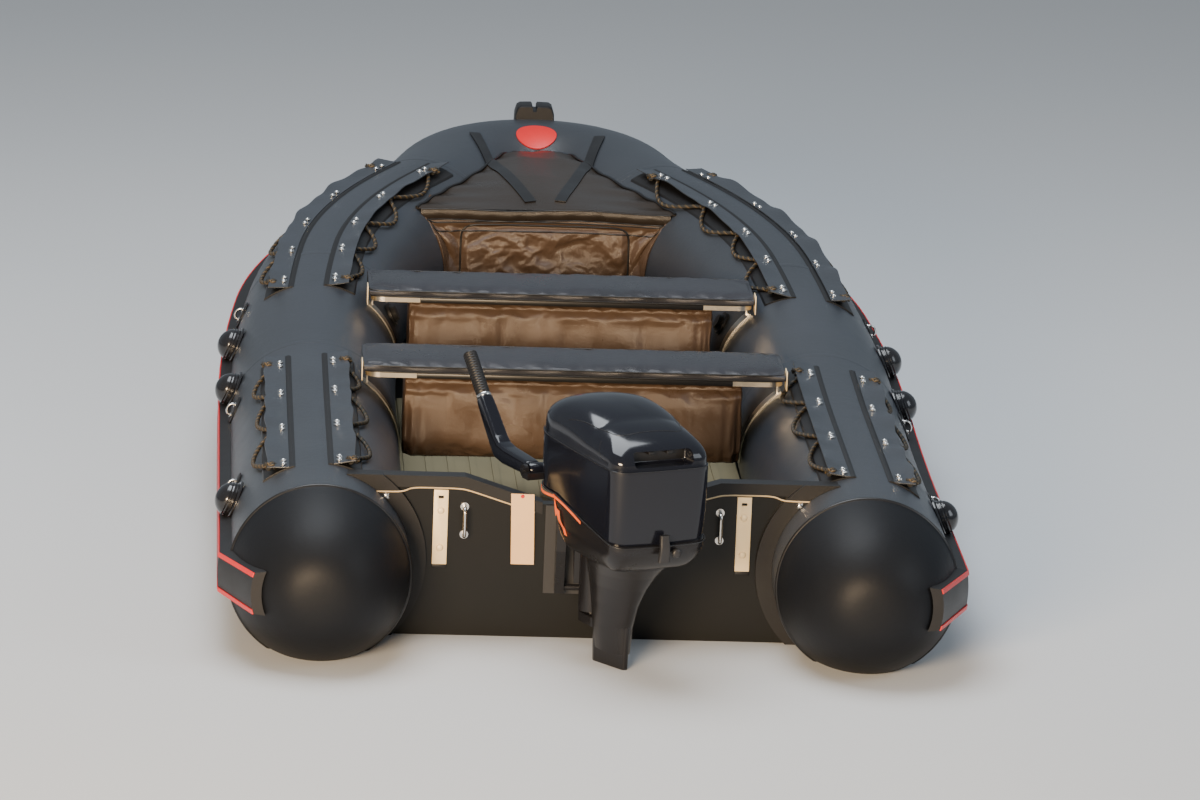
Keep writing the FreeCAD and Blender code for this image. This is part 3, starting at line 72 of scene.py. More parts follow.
def new_group(name, inputs, outputs):
    """An empty shader group with its sockets: (name, kind, default) and (name, kind)."""
    group = bpy.data.node_groups.new(name, "ShaderNodeTree")
    for title, kind, default in inputs:
        socket = group.interface.new_socket(title, in_out="INPUT", socket_type=kind)
        socket.default_value = default
    for title, kind in outputs:
        group.interface.new_socket(title, in_out="OUTPUT", socket_type=kind)
    group.nodes.new("NodeGroupInput")
    group.nodes.new("NodeGroupOutput")
    return group, group.nodes["Group Input"].outputs, group.nodes["Group Output"].inputs


def add(tree, kind, **values):
    """A node with its properties set, and its inputs set or fed from a socket."""
    node = tree.nodes.new(kind)
    for key, value in values.items():
        if key not in node.inputs:
            setattr(node, key, value)
        elif isinstance(value, bpy.types.NodeSocket):
            tree.links.new(value, node.inputs[key])
        else:
            node.inputs[key].default_value = value
    return node


def calc(tree, operation, *terms, **values):
    """The result of a math node fed by numbers or sockets."""
    node = add(tree, "ShaderNodeMath", operation=operation, **values)
    for socket, term in zip(node.inputs, terms):
        if isinstance(term, float):
            socket.default_value = term
        else:
            tree.links.new(term, socket)
    return node.outputs[0]


def make_mottle_group():
    """Slow colour variation, and the roughness that goes with it."""
    group, given, out = new_group(
        "mottle",
        [("Vector", "NodeSocketVector", (0, 0, 0)), ("Colour", "NodeSocketColor", (1, 1, 1, 1)),
         ("Size", "NodeSocketFloat", 2.0), ("Depth", "NodeSocketFloat", 0.15),
         ("Roughness", "NodeSocketFloat", 0.5)],
        [("Colour", "NodeSocketColor"), ("Roughness", "NodeSocketFloat")],
    )
    slow = add(group, "ShaderNodeTexNoise", Vector=given["Vector"], Scale=given["Size"], Detail=5.0,
               Roughness=0.6)
    centred = calc(group, "SUBTRACT", slow.outputs["Fac"], 0.5)
    scaled = calc(group, "MULTIPLY", centred, given["Depth"])
    brightness = calc(group, "MULTIPLY_ADD", scaled, 2.4, 1.0)
    tint = add(group, "ShaderNodeHueSaturation", Color=given["Colour"], Value=brightness)
    rough = calc(group, "ADD", given["Roughness"], scaled, use_clamp=True)
    group.links.new(tint.outputs["Color"], out["Colour"])
    group.links.new(rough, out["Roughness"])
    return group


def make_weave_group():
    """Crossed threads of a coated cloth, as a height."""
    group, given, out = new_group(
        "weave",
        [("Vector", "NodeSocketVector", (0, 0, 0)), ("Threads", "NodeSocketFloat", 900.0)],
        [("Height", "NodeSocketFloat")],
    )
    waves = []
    for direction in ("X", "Y", "Z"):
        wave = add(group, "ShaderNodeTexWave", wave_type="BANDS", bands_direction=direction, Distortion=0.6,
                   Vector=given["Vector"], Scale=given["Threads"])
        waves.append(wave.outputs["Fac"])
    crossed = calc(group, "MULTIPLY", waves[0], waves[1])
    group.links.new(calc(group, "MAXIMUM", crossed, waves[2]), out["Height"])
    return group


MOTTLE = make_mottle_group()
WEAVE = make_weave_group()


def finish(name, colour, roughness, mottle=0.12, mottle_size=3.0, grain=0.0, grain_size=400.0,
           threads=0.0, thread_depth=0.0, metallic=0.0, coat=0.0, specular=0.5):
    """A finish for one kind of surface, on Object coordinates."""
    material = bpy.data.materials.new(name)
    material.use_nodes = True
    tree = material.node_tree
    surface = tree.nodes["Principled BSDF"]
    plain = {"Metallic": metallic, "Coat Weight": coat, "Coat Roughness": 0.08, "Specular IOR Level": specular}
    for title, value in plain.items():
        surface.inputs[title].default_value = value
    place = add(tree, "ShaderNodeTexCoord").outputs["Object"]
    variation = add(tree, "ShaderNodeGroup", node_tree=MOTTLE, Vector=place, Colour=(*colour, 1),
                    Size=mottle_size, Depth=mottle, Roughness=roughness)
    tree.links.new(variation.outputs["Colour"], surface.inputs["Base Color"])
    tree.links.new(variation.outputs["Roughness"], surface.inputs["Roughness"])
    reliefs = []
    if threads:
        weave = add(tree, "ShaderNodeGroup", node_tree=WEAVE, Vector=place, Threads=threads)
        reliefs.append((weave.outputs["Height"], thread_depth))
    if grain:
        speckle = add(tree, "ShaderNodeTexNoise", Vector=place, Scale=grain_size, Detail=4.0)
        reliefs.append((speckle.outputs["Fac"], grain))
    below = None
    for height, depth in reliefs:
        bump = add(tree, "ShaderNodeBump", Strength=0.5, Distance=depth, Height=height)
        if below:
            tree.links.new(below, bump.inputs["Normal"])
        below = bump.outputs["Normal"]
    if below:
        tree.links.new(below, surface.inputs["Normal"])
    return material


TUBE_CLOTH = finish("tube_cloth", (0.034, 0.04, 0.05), 0.34, 0.3, 2.2, 0.001, 60.0, 420.0, 0.0002)
BLACK_RUBBER = finish("black_rubber", (0.01, 0.01, 0.011), 0.46, 0.2, 8.0, 0.0004, 500.0, specular=0.35)
RED_RUBBER = finish("red_rubber", (0.62, 0.012, 0.014), 0.4, 0.12, 9.0, 0.0003, 500.0)
ROPE = finish("rope_yarn", (0.02, 0.018, 0.014), 0.7, 0.25, 30.0, 0.0005, 300.0)
# gold-brown finish for one strand in three: painted sun glints on the dark rope
ROPE_GLINT = finish("rope_painted_glint", (0.095, 0.064, 0.028), 0.6, 0.25, 30.0, 0.0005, 300.0)
STAINLESS = finish("stainless_steel", (0.66, 0.65, 0.63), 0.22, 0.1, 20.0, 0.0001, 300.0, metallic=1.0)
BLACK_PLASTIC = finish("black_plastic", (0.018, 0.018, 0.02), 0.45, 0.12, 10.0, 0.0002, 700.0)
GELCOAT = finish("hull_gelcoat", (0.009, 0.009, 0.008), 0.3, 0.1, 3.0, specular=0.26)
FLOOR_MAT = finish("floor_mat", (0.19, 0.165, 0.095), 0.62, 0.18, 5.0, 0.0006, 260.0)
ALLOY = finish("anodised_alloy", (0.74, 0.7, 0.62), 0.34, 0.1, 14.0, 0.0001, 500.0, metallic=1.0)
CUSHION_CLOTH = finish("cushion_cloth", (0.026, 0.027, 0.034), 0.31, 0.35, 5.0, 0.001, 60.0, 620.0, 0.0002)
# black coated cloth; its brown colour is a painted warm sun reflection
BAG_CLOTH_PAINTED_SUN = finish("bag_cloth", (0.09, 0.056, 0.036), 0.3, 0.25, 6.0, 0.001, 70.0, 620.0, 0.0002)
MOTOR_PAINT = finish("motor_paint", (0.01, 0.01, 0.012), 0.26, 0.1, 5.0, coat=0.05, specular=0.34)
MOTOR_GLOSS = finish("motor_gloss", (0.006, 0.007, 0.012), 0.13, 0.08, 4.0, coat=0.12, specular=0.42)
CAST_METAL = finish("cast_metal", (0.08, 0.08, 0.085), 0.6, 0.15, 12.0, 0.0006, 300.0, metallic=0.6)

DOME_RUBBER = finish("dome_rubber", (0.01, 0.01, 0.012), 0.2, 0.1, 12.0, 0.0001, 500.0, coat=0.4)
CONE_CLOTH = finish("cone_cloth", (0.008, 0.0092, 0.012), 0.5, 0.12, 3.0, 0.0008, 60.0, specular=0.16)
PIPING = finish("piping", (0.008, 0.008, 0.009), 0.36, 0.15, 20.0, 0.0002, 600.0)
# dark cloth; its brown tint is a painted warm sun sheen
DODGER_CLOTH_PAINTED_SHEEN = finish("dodger_cloth_painted_sheen", (0.026, 0.019, 0.014), 0.3, 0.25, 4.0, 0.001, 60.0, 620.0, 0.0002)

# bright alloy; its warm cream tint is a painted warm sun reflection
STRAP_ALLOY_PAINTED_SUN = finish("strap_alloy_painted_sun", (1.0, 0.8, 0.5), 0.5, 0.06, 14.0, 0.0001, 500.0, metallic=0.15)
# gold for the thin line along the transom's top edge: a painted sun highlight
EDGE_HIGHLIGHT = finish("painted_edge_highlight", (0.62, 0.46, 0.26), 0.4, 0.1, 20.0, 0.0001, 500.0)
CARD = finish("card", (0.88, 0.56, 0.3), 0.7, 0.06, 12.0, 0.0002, 900.0)
ORANGE_WEBBING = finish("orange_webbing", (0.8, 0.13, 0.03), 0.55, 0.12, 20.0, 0.0002, 900.0, 1500.0, 0.0002)

# the solids that show as they are; the others have a piece below that stands for them
NODE_FINISHES = {
    TUBE_CLOTH: ["buoyancy_tube"],
    BLACK_RUBBER: [
        "rubbing_strake", "outer_line_flaps", "inner_line_flaps", "keel_guard", "transom_top_trim",
        "transom_collars",
    ],
    RED_RUBBER: ["strake_lines", "bow_patch"],
    STAINLESS: ["tow_eyes", "tilt_tube", "clamp_screws"],
    BLACK_PLASTIC: ["inflation_valves", "motor_pads"],
    GELCOAT: ["rigid_hull", "transom_board"],
    FLOOR_MAT: ["deck_floor"],
    ALLOY: ["rear_thwart_board", "front_thwart_board", "rear_thwart_brackets", "front_thwart_brackets"],
    MOTOR_PAINT: ["clamp_bracket", "swivel_bracket", "steering_pilot", "motor_leg", "gearcase", "propeller"],
    CAST_METAL: ["powerhead"],
}
for material, names in NODE_FINISHES.items():
    for name in names:
        mesh = nodes[name].data
        mesh.materials.clear()
        mesh.materials.append(material)


# Camera at the photo's angle: far off, a little above, looking forward over the motor

PHOTO_WIDTH, PHOTO_HEIGHT = 1200, 800
FOCAL_PIXELS = 7300
AIM = Vector((0, 0, 0.3))
AIM_PIXEL = (592.0, 526.4)
DISTANCE = 18.945
ELEVATION, AZIMUTH, ROLL = math.radians(12.9), math.radians(3.44), math.radians(-2.25)


def photo_camera():
    look = Vector((
        math.sin(AZIMUTH) * math.cos(ELEVATION),
        math.cos(AZIMUTH) * math.cos(ELEVATION),
        -math.sin(ELEVATION),
    ))
    level = look.cross(Vector((0, 0, 1))).normalized()
    above = level.cross(look)
    right = level * math.cos(ROLL) - above * math.sin(ROLL)
    up = level * math.sin(ROLL) + above * math.cos(ROLL)
    across = (AIM_PIXEL[0] - PHOTO_WIDTH / 2) / FOCAL_PIXELS
    down = (AIM_PIXEL[1] - PHOTO_HEIGHT / 2) / FOCAL_PIXELS
    place = AIM - DISTANCE * (look + right * across - up * down)
    data = bpy.data.cameras.new("photo_camera")
    data.sensor_width = 36
    data.lens = FOCAL_PIXELS / PHOTO_WIDTH * 36
    data.clip_end = 200
    camera = bpy.data.objects.new("photo_camera", data)
    turn = Matrix((right, up, -look)).transposed().to_4x4()
    camera.matrix_world = Matrix.Translation(place) @ turn
    bpy.context.scene.collection.objects.link(camera)
    bpy.context.scene.camera = camera


photo_camera()


# The tube's line, as the CAD has it: straight and arc runs from the stern to the bow's nose

TUBE_RADIUS = 0.235

# columns: distance along the tube, start, direction, upward, radius of the bend, way to its centre
TUBE_RUNS = [
    (0.0, (0.706, -0.178, 0.2), (0, 1, 0), (0, 0, 1), 0, (0, 0, 0)),
    (0.878, (0.706, 0.7, 0.2), (0, 1, 0), (0, 0, 1), 9.9752, (0, 0, 1)),
    (1.6789, (0.706, 1.5, 0.23213), (0, 0.99678, 0.0802), (0, -0.0802, 0.99678), 8.6178, (-1, 0, 0)),
    (2.5694, (0.66003, 2.38607, 0.30342), (-0.10315, 0.99146, 0.07977), (0, -0.0802, 0.99678), 2.1827,
     (-0.99467, -0.10282, -0.00827)),
    (3.4486, (0.398, 3.21645, 0.37023), (-0.48481, 0.8718, 0.07014), (0, -0.0802, 0.99678), 1.6172,
     (0.87462, 0.48325, 0.03888)),
    (3.8443, (0.25021, 3.58122, 0.39958), (-0.25853, 0.96289, 0.07747), (0, -0.0802, 0.99678), 0.259,
     (-0.966, -0.25769, -0.02073)),
]


def tube_frame(distance):
    """Place, outboard, upward and onward on the starboard tube."""
    run = [row for row in TUBE_RUNS if row[0] <= max(distance, 0.0)][-1]
    at, start, direction, upward, radius, inward = run
    start, direction, upward, inward = (Vector(item) for item in (start, direction, upward, inward))
    if not radius:
        return start + direction * (distance - at), direction.cross(upward), upward, direction
    turn = Matrix.Rotation((distance - at) / radius, 3, direction.cross(inward).normalized())
    centre = start + inward * radius
    onward, above = turn @ direction, turn @ upward
    return centre + turn @ (start - centre), onward.cross(above), above, onward


def on_tube(distance, angle, height, side=1):
    """A point over the tube's skin; the angle in degrees runs from outboard up and over."""
    place, outboard, upward, _ = tube_frame(distance)
    turn = math.radians(angle)
    point = place + (outboard * math.cos(turn) + upward * math.sin(turn)) * (TUBE_RADIUS + height)
    point.x *= side
    return point


def tube_foot(distance, angle, height, side):
    """A point over the tube's skin, the way out of the tube there and the way along it."""
    centre, _, _, onward = tube_frame(distance)
    centre.x *= side
    onward.x *= side
    foot = on_tube(distance, angle, height, side)
    return foot, (foot - centre).normalized(), onward


def between(rows, share, eased=()):
    """The row a share of the way down a table; the gaps whose numbers are in eased are softened."""
    reach = share * (len(rows) - 1)
    number = min(int(reach), len(rows) - 2)
    part = reach - number
    if number in eased:
        part = part * part * (3 - 2 * part)
    return [a + (b - a) * part for a, b in zip(rows[number], rows[number + 1])]


# Mesh helpers. Every piece ends in settle(), which gives it its finish and its body.

def as_object(shape, name):
    mesh = bpy.data.meshes.new(name)
    shape.to_mesh(mesh)
    shape.free()
    piece = bpy.data.objects.new(name, mesh)
    bpy.context.scene.collection.objects.link(piece)
    return piece


def discard(piece):
    mesh = piece.data
    bpy.data.objects.remove(piece)
    bpy.data.meshes.remove(mesh)


def evaluated(piece):
    """The shape of a helper object with its modifiers; the object itself goes."""
    view = bpy.context.evaluated_depsgraph_get()
    mesh = bpy.data.meshes.new_from_object(piece.evaluated_get(view))
    shape = bmesh.new()
    shape.from_mesh(mesh)
    bpy.data.meshes.remove(mesh)
    discard(piece)
    return shape


def settle(shape, name, materials, body="boat", stands_for=(), sharp=40):
    piece = as_object(shape, name)
    for material in materials if isinstance(materials, list) else [materials]:
        piece.data.materials.append(material)
    piece.data.shade_smooth()
    piece.data.set_sharp_from_angle(angle=math.radians(sharp))
    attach(piece, body)
    if stands_for:
        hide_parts(*stands_for)
    return piece


def faces_of(verts):
    return list({face for vertex in verts for face in vertex.link_faces})


def weld(shape, verts):
    """Joins the corners that lie on each other; gives back those that are left."""
    bmesh.ops.remove_doubles(shape, verts=verts, dist=1e-6)
    return [vertex for vertex in verts if vertex.is_valid]


def thicken(shape, thickness):
    """Turns a sheet's faces one way and gives them a thickness."""
    bmesh.ops.recalc_face_normals(shape, faces=shape.faces)
    bmesh.ops.solidify(shape, geom=shape.faces, thickness=thickness)


def grid(shape, columns, rows, place):
    """A sheet of quads whose corners go where place(u, v) says, both from 0 to 1."""
    made = bmesh.ops.create_grid(shape, x_segments=columns, y_segments=rows, size=0.5)["verts"]
    for vertex in made:
        vertex.co = place(vertex.co.x + 0.5, vertex.co.y + 0.5)
    return made


def loft(shape, steps, sides, place, finish_index=0, caps=True):
    """A tube of quads round place(t, turn), closed round its turn and capped at both ends."""
    made = weld(shape, grid(shape, steps, sides, place))
    if caps:
        rims = {edge for vertex in made for edge in vertex.link_edges if edge.is_boundary}
        bmesh.ops.holes_fill(shape, edges=list(rims), sides=0)
    faces = faces_of(made)
    for face in faces:
        face.material_index = finish_index
    bmesh.ops.recalc_face_normals(shape, faces=faces)


def turned(shape, profile, place, onward, steps=32):
    """A profile of (radius, height) spun round an axis that stands on place."""
    verts = [shape.verts.new((radius, 0, height)) for radius, height in profile]
    edges = [shape.edges.new(pair) for pair in zip(verts, verts[1:])]
    bmesh.ops.spin(
        shape, geom=verts + edges, cent=(0, 0, 0), axis=(0, 0, 1), dvec=(0, 0, 0), angle=math.tau,
        steps=steps, use_merge=True, use_duplicate=False,
    )
    whole = weld(shape, linked(verts[0]))
    bmesh.ops.recalc_face_normals(shape, faces=faces_of(whole))
    turn = Vector(onward).to_track_quat("Z", "Y").to_matrix().to_4x4()
    bmesh.ops.transform(shape, matrix=Matrix.Translation(place) @ turn, verts=whole)


CLOTH_FRAMES = 9
CLOTH_SETTINGS = {
    "quality": 3, "mass": 0.3, "tension_stiffness": 15, "compression_stiffness": 15, "shear_stiffness": 5,
    "bending_stiffness": 0.2, "use_pressure": True, "vertex_group_mass": "seams",
}


def filled(shape, held, cap, pressure, spare):
    """Lets a pad's cloth swell and wrinkle between its held seams, by cloth simulation."""
    starts = [vertex.co.copy() for vertex in shape.verts]
    body = as_object(shape, "pad")
    seams = body.vertex_groups.new(name="seams")
    seams.add([number for number, start in enumerate(starts) if held(start)], 1.0, "REPLACE")
    cloth = body.modifiers.new("cloth", "CLOTH")
    cloth.point_cache.frame_start = 1
    cloth.point_cache.frame_end = CLOTH_FRAMES
    settings = cloth.settings
    for key, value in CLOTH_SETTINGS.items():
        setattr(settings, key, value)
    settings.uniform_pressure_force = pressure
    settings.shrink_min = -spare
    settings.shrink_max = -spare
    settings.effector_weights.gravity = 0
    scene = bpy.context.scene
    for frame in range(1, CLOTH_FRAMES + 1):
        scene.frame_set(frame)
    swollen = evaluated(body)
    for vertex, start in zip(swollen.verts, starts):
        move = vertex.co - start
        if move.length > 1e-6:
            vertex.co = start + move * (cap * math.tanh(move.length / cap) / move.length)
    scene.frame_set(1)
    return swollen


def softened(piece):
    """One level of subdivision over a cloth piece."""
    smooth = piece.modifiers.new("smooth", "SUBSURF")
    smooth.levels = smooth.render_levels = 1
    return piece


def linked(start):
    """All the corners that hang together with this one."""
    found, waiting = {start}, [start]
    while waiting:
        for edge in waiting.pop().link_edges:
            for vertex in edge.verts:
                if vertex not in found:
                    found.add(vertex)
                    waiting.append(vertex)
    return list(found)


def spline_mesh(points, radius, resolution=12, sides=3):
    """A smooth round line through the pull of its control points, as a mesh."""
    data = bpy.data.curves.new("line", "CURVE")
    data.dimensions = "3D"
    data.resolution_u = resolution
    data.bevel_depth = radius
    data.bevel_resolution = sides
    data.use_fill_caps = True
    spline = data.splines.new("NURBS")
    spline.points.add(len(points) - 1)
    for target, point in zip(spline.points, points):
        target.co = (*point, 1)
    spline.order_u = 3
    spline.use_endpoint_u = True
    holder = bpy.data.objects.new("line", data)
    mesh = bpy.data.meshes.new_from_object(holder)
    bpy.data.objects.remove(holder)
    bpy.data.curves.remove(data)
    return mesh


def spline_path(points, resolution=12):
    """Points along the smooth line itself."""
    mesh = spline_mesh(points, 0, resolution)
    path = [vertex.co.copy() for vertex in mesh.vertices]
    bpy.data.meshes.remove(mesh)
    return path


def round_line(shape, points, radius, resolution=8, sides=2):
    """Adds a smooth round line to a shape."""
    mesh = spline_mesh(points, radius, resolution, sides)
    shape.from_mesh(mesh)
    bpy.data.meshes.remove(mesh)


def line_piece(name, lines, material=None, body="boat"):
    """One piece of smooth round lines, given as (points, radius)."""
    shape = bmesh.new()
    for points, radius in lines:
        round_line(shape, points, radius)
    settle(shape, name, material or PIPING, body, sharp=80)


def cut_away(shape, cutter):
    """Takes a closed cutter out of a closed shape; gives back the new shape."""
    body, blade = as_object(shape, "body"), as_object(cutter, "blade")
    cut = body.modifiers.new("cut", "BOOLEAN")
    cut.operation = "DIFFERENCE"
    cut.solver = "EXACT"
    cut.object = blade
    left = evaluated(body)
    discard(blade)
    return left


def box(shape, low, high, rounding=0.0, segments=3, place=None):
    """A block between two corners with rounded edges, then moved by place(x, y, z)."""
    made = bmesh.ops.create_cube(shape, size=1.0)["verts"]
    for vertex in made:
        vertex.co = Vector([(a + b) / 2 + c * (b - a) for a, b, c in zip(low, high, vertex.co)])
    if rounding:
        edges = {edge for vertex in made for edge in vertex.link_edges}
        bevelled = bmesh.ops.bevel(
            shape, geom=list(edges), offset=rounding, offset_type="OFFSET", segments=segments, profile=0.5,
            affect="EDGES", material=-1, clamp_overlap=True,
        )
        made = linked(bevelled["faces"][0].verts[0])
    if place:
        for vertex in made:
            vertex.co = place(*vertex.co)


# Grab lines on their flaps

# columns: start and end of a flap, and its grommets, along the tube from the stern
FLAP_SPANS = [
    (0.234, 1.48, (0.28, 0.68, 1.08, 1.39)),
    (2.15, 3.52, (2.22, 2.52, 2.81, 3.11, 3.43)),
]
# columns: name, angle on the tube, and which way the free edge and the line's loops face
FLAP_LINES = [("outer", 62, -1), ("inner", 106, 1)]
ROPE_RADIUS = 0.006
ROPE_STEP, ROPE_PITCH = 0.004, 0.027


def line_flap(name, angle, away):
    """A folded strip: its crown edge lies on the tube, its free edge stands up in waves."""
    shape = bmesh.new()
    for start, end, grommets in FLAP_SPANS:
        for side in (-1, 1):
            def place(u, v):
                at = start + (end - start) * u
                pull = max(math.exp(-((at - grommet) / 0.06) ** 2) for grommet in grommets)
                lift = 0.0055 + (0.027 - 0.007 * pull) * v ** 1.4
                wave = 0.006 * math.sin(at * 21 + side + angle) * v * (1 - pull)
                return on_tube(at, angle - away * (8 - 12 * v), lift + wave, side)

            grid(shape, 150, 6, place)
    thicken(shape, 0.0026)
    bmesh.ops.recalc_face_normals(shape, faces=shape.faces)
    settle(shape, name + "_line_strip", TUBE_CLOTH)


def grommet_studs(name, angle, away):
    """Pairs of domed studs that hold the line through each strip."""
    shape = bmesh.new()
    profile = [(0.0105, 0), (0.0105, 0.0012), (0.0075, 0.002), (0.0068, 0.004), (0.0045, 0.0062), (0, 0.0071)]
    for grommet in [place for _, _, grommets in FLAP_SPANS for place in grommets]:
        for step in (-0.018, 0.018):
            for side in (-1, 1):
                foot, out, _ = tube_foot(grommet + step, angle - away * 4.5, 0.0105, side)
                turned(shape, profile, foot, out, 16)
    settle(shape, name + "_line_studs", STAINLESS)


def grab_line_route(grommets, angle, away, side, seed):
    """The line lies under the strip at each grommet and loops off it between two."""
    steps = [(0.0, 0.0, 0.012), (0.22, 0.62, 0.012), (0.5, 1.0, 0.0095), (0.78, 0.66, 0.012)]
    points = []
    for number, (here, there) in enumerate(zip(grommets, grommets[1:])):
        slack = 1 + 0.16 * math.sin(seed * 2.1 + number * 1.9)
        for along, out, height in steps:
            points.append(on_tube(here + (there - here) * along, angle + away * 17 * out * slack, height, side))
    points.append(on_tube(grommets[-1], angle, 0.012, side))
    return points


def laid_rope(shape, points, radius):
    """Three strands laid round a smooth line."""
    path = spline_path(points, 16)
    lengths = [0.0]
    for here, there in zip(path, path[1:]):
        lengths.append(lengths[-1] + (there - here).length)
    steps = int(lengths[-1] / ROPE_STEP)
    centres, walk = [], 0
    for number in range(steps + 1):
        reach = lengths[-1] * number / steps
        while walk < len(path) - 2 and lengths[walk + 1] < reach:
            walk += 1
        share = (reach - lengths[walk]) / (lengths[walk + 1] - lengths[walk])
        centres.append(path[walk].lerp(path[walk + 1], share))
    frames = []
    across = (centres[1] - centres[0]).orthogonal().normalized()
    for number, centre in enumerate(centres):
        ahead = (centres[min(number + 1, steps)] - centres[max(number - 1, 0)]).normalized()
        across = (across - ahead * across.dot(ahead)).normalized()
        frames.append((centre, across.copy(), ahead.cross(across)))
    for strand in range(3):
        def place(t, turn):
            number = round(t * steps)
            centre, first, second = frames[number]
            lay = math.tau * (number * ROPE_STEP / ROPE_PITCH + strand / 3)
            out = first * math.cos(lay) + second * math.sin(lay)
            over = out.cross(first.cross(second)).normalized()
            edge = math.tau * turn
            return centre + out * radius * 0.5 + (out * math.cos(edge) + over * math.sin(edge)) * radius * 0.54

        # the third strand takes the gold-brown finish, a painted sun glint
        loft(shape, steps, 6, place, 1 if strand == 2 else 0)


def rope_knot(shape, place, radius):
    """A small overhand knot, pulled tight."""
    size = radius * 0.85
    points = []
    for step in range(19):
        turn = math.tau * step / 18
        points.append(place + size * Vector((
            math.sin(turn) + 2 * math.sin(2 * turn),
            math.cos(turn) - 2 * math.cos(2 * turn),
            -1.2 * math.sin(3 * turn),
        )))
    laid_rope(shape, points, radius)


def grab_line(name, angle, away):
    shape = bmesh.new()
    for row, (_, _, grommets) in enumerate(FLAP_SPANS):
        for side in (-1, 1):
            laid_rope(shape, grab_line_route(grommets, angle, away, side, row * 2 + side + angle), ROPE_RADIUS)
            for grommet in (grommets[0] - 0.012, grommets[-1] + 0.012):
                rope_knot(shape, on_tube(grommet, angle + away * 3, 0.019, side), ROPE_RADIUS)
    strands = [ROPE, ROPE_GLINT]
    settle(shape, name + "_grab_line_rope", strands, stands_for=[name + "_grab_line"], sharp=80)


for line_name, line_angle, line_away in FLAP_LINES:
    line_flap(line_name, line_angle, line_away)
    grommet_studs(line_name, line_angle, line_away)
    grab_line(line_name, line_angle, line_away)


# Side domes with ribbed feet

SIDE_ANGLE = 22
DOME_PLACES, RING_PLACES = (0.4, 1.59, 2.000), (0.56, 1.4, 2.3)
DOME_RADIUS, DOME_SEAT = 0.047, 0.008


def side_domes():
    shape = bmesh.new()
    profile = [(0.056, 0.0005), (0.056, 0.004), (0.0535, 0.0065), (0.049, 0.007)]
    for height in (0.012, 0.019, 0.026):
        ball = math.sqrt(DOME_RADIUS ** 2 - (height - DOME_SEAT) ** 2)
        profile += [(ball, height - 0.004), (ball + 0.0012, height - 0.0028), (ball + 0.0012, height - 0.0008)]
        profile += [(ball - 0.0012, height)]
    for step in range(1, 15):
        lift = math.radians(24 + (90 - 24) * step / 14)
        profile.append((DOME_RADIUS * math.cos(lift), DOME_SEAT + DOME_RADIUS * math.sin(lift)))
    profile[-1] = (0, DOME_SEAT + DOME_RADIUS)
    for distance in DOME_PLACES:
        for side in (-1, 1):
            foot, out, _ = tube_foot(distance, SIDE_ANGLE, 0, side)
            turned(shape, profile, foot, out, 48)
    settle(shape, "ribbed_side_domes", DOME_RUBBER, stands_for=["side_domes"])


def lashing_rings():
    """Steel eyes on round welded patches, between the domes."""
    rings, patches = bmesh.new(), bmesh.new()
    profile = [(0.04, 0.0002), (0.04, 0.0022), (0.0385, 0.0034), (0.026, 0.004), (0.025, 0.0052), (0.0, 0.0056)]
    bends = [(-1, 0.001), (-1, 0.006), (-1, 0.013), (-0.62, 0.0195), (0, 0.0215)]
    bends += [(-bend, lift) for bend, lift in bends[-2::-1]]
    for distance in RING_PLACES:
        for side in (-1, 1):
            foot, out, onward = tube_foot(distance, SIDE_ANGLE, 0.0, side)
            leg = out.cross(onward).normalized() * 0.0155
            turned(patches, profile, foot, out, 40)
            arch = [foot + leg * bend + out * lift for bend, lift in bends]
            round_line(rings, arch, 0.0036, resolution=12, sides=3)
            for end in (foot - leg, foot + leg):
                turned(rings, [(0.0075, 0.004), (0.0075, 0.0068), (0.006, 0.008), (0.0, 0.008)], end, out, 20)
    settle(rings, "lashing_rings", STAINLESS, stands_for=["side_rings"], sharp=50)
    settle(patches, "lashing_patches", BLACK_RUBBER)


side_domes()
lashing_rings()


# Thwart cushions, seat bags

def rounded_share(share):
    """Runs from -1 to 1 and crowds the steps of a loft into its two rounded ends."""
    return -math.cos(math.pi * share)


def power_round(turn, half_wide, half_high, squareness):
    """A point on a rounded rectangle's rim."""
    across, up = math.cos(math.tau * turn), math.sin(math.tau * turn)
    return (
        half_wide * math.copysign(abs(across) ** (2 / squareness), across),
        half_high * math.copysign(abs(up) ** (2 / squareness), up),
    )


def thwart_cushion(name, low, high, seed):
    """A thin pad in coated cloth: crowned, pulled in at its seams, with a few creases across."""
    shape = bmesh.new()
    middle = (low + high) / 2
    half = (high - low) / 2

    def place(t, turn):
        share = rounded_share(t)
        end = (1 - abs(share) ** 14) ** (1 / 14)
        x = middle.x + half.x * share
        wide, up = power_round(turn, half.y * (0.86 + 0.14 * end), half.z * (0.25 + 0.75 * end), 7)
        top = max(up / half.z, 0)
        crown = 0.006 * top * (1 - (wide / half.y) ** 2) * end
        crease = 0.003 * noise.noise(Vector((x * 7 + seed, wide * 9, seed))) * top
        crease += 0.0022 * noise.noise(Vector((x * 26, wide * 14 + seed, 1.0))) * top
        pull = 0.0026 * math.sin(x * 38 + seed) * (1 - top) * (1 if wide < 0 else 0)
        return Vector((x, middle.y + wide + pull, middle.z + up - 0.006 * top * 0.9 + crown + crease))

    loft(shape, 112, 52, place)

    def held(point):
        inward = min(half.x - abs(point.x - middle.x), half.y - abs(point.y - middle.y))
        return point.z < middle.z or inward < 0.01

    shape = filled(shape, held, 0.0075, 3.0, 0.025)
    node = name.replace("_pad", "_cushion")
    pad = settle(shape, name, CUSHION_CLOTH, stands_for=[node], sharp=60)
    softened(pad)
    rims = []
    for z in (low.z + 0.003, high.z - 0.007):
        rim = [power_round(step / 60, half.x * 0.998, half.y * 0.996, 16) for step in range(61)]
        rims.append(([Vector((middle.x + across, middle.y + along, z)) for across, along in rim], 0.0024))
    line_piece(name + "_piping", rims)


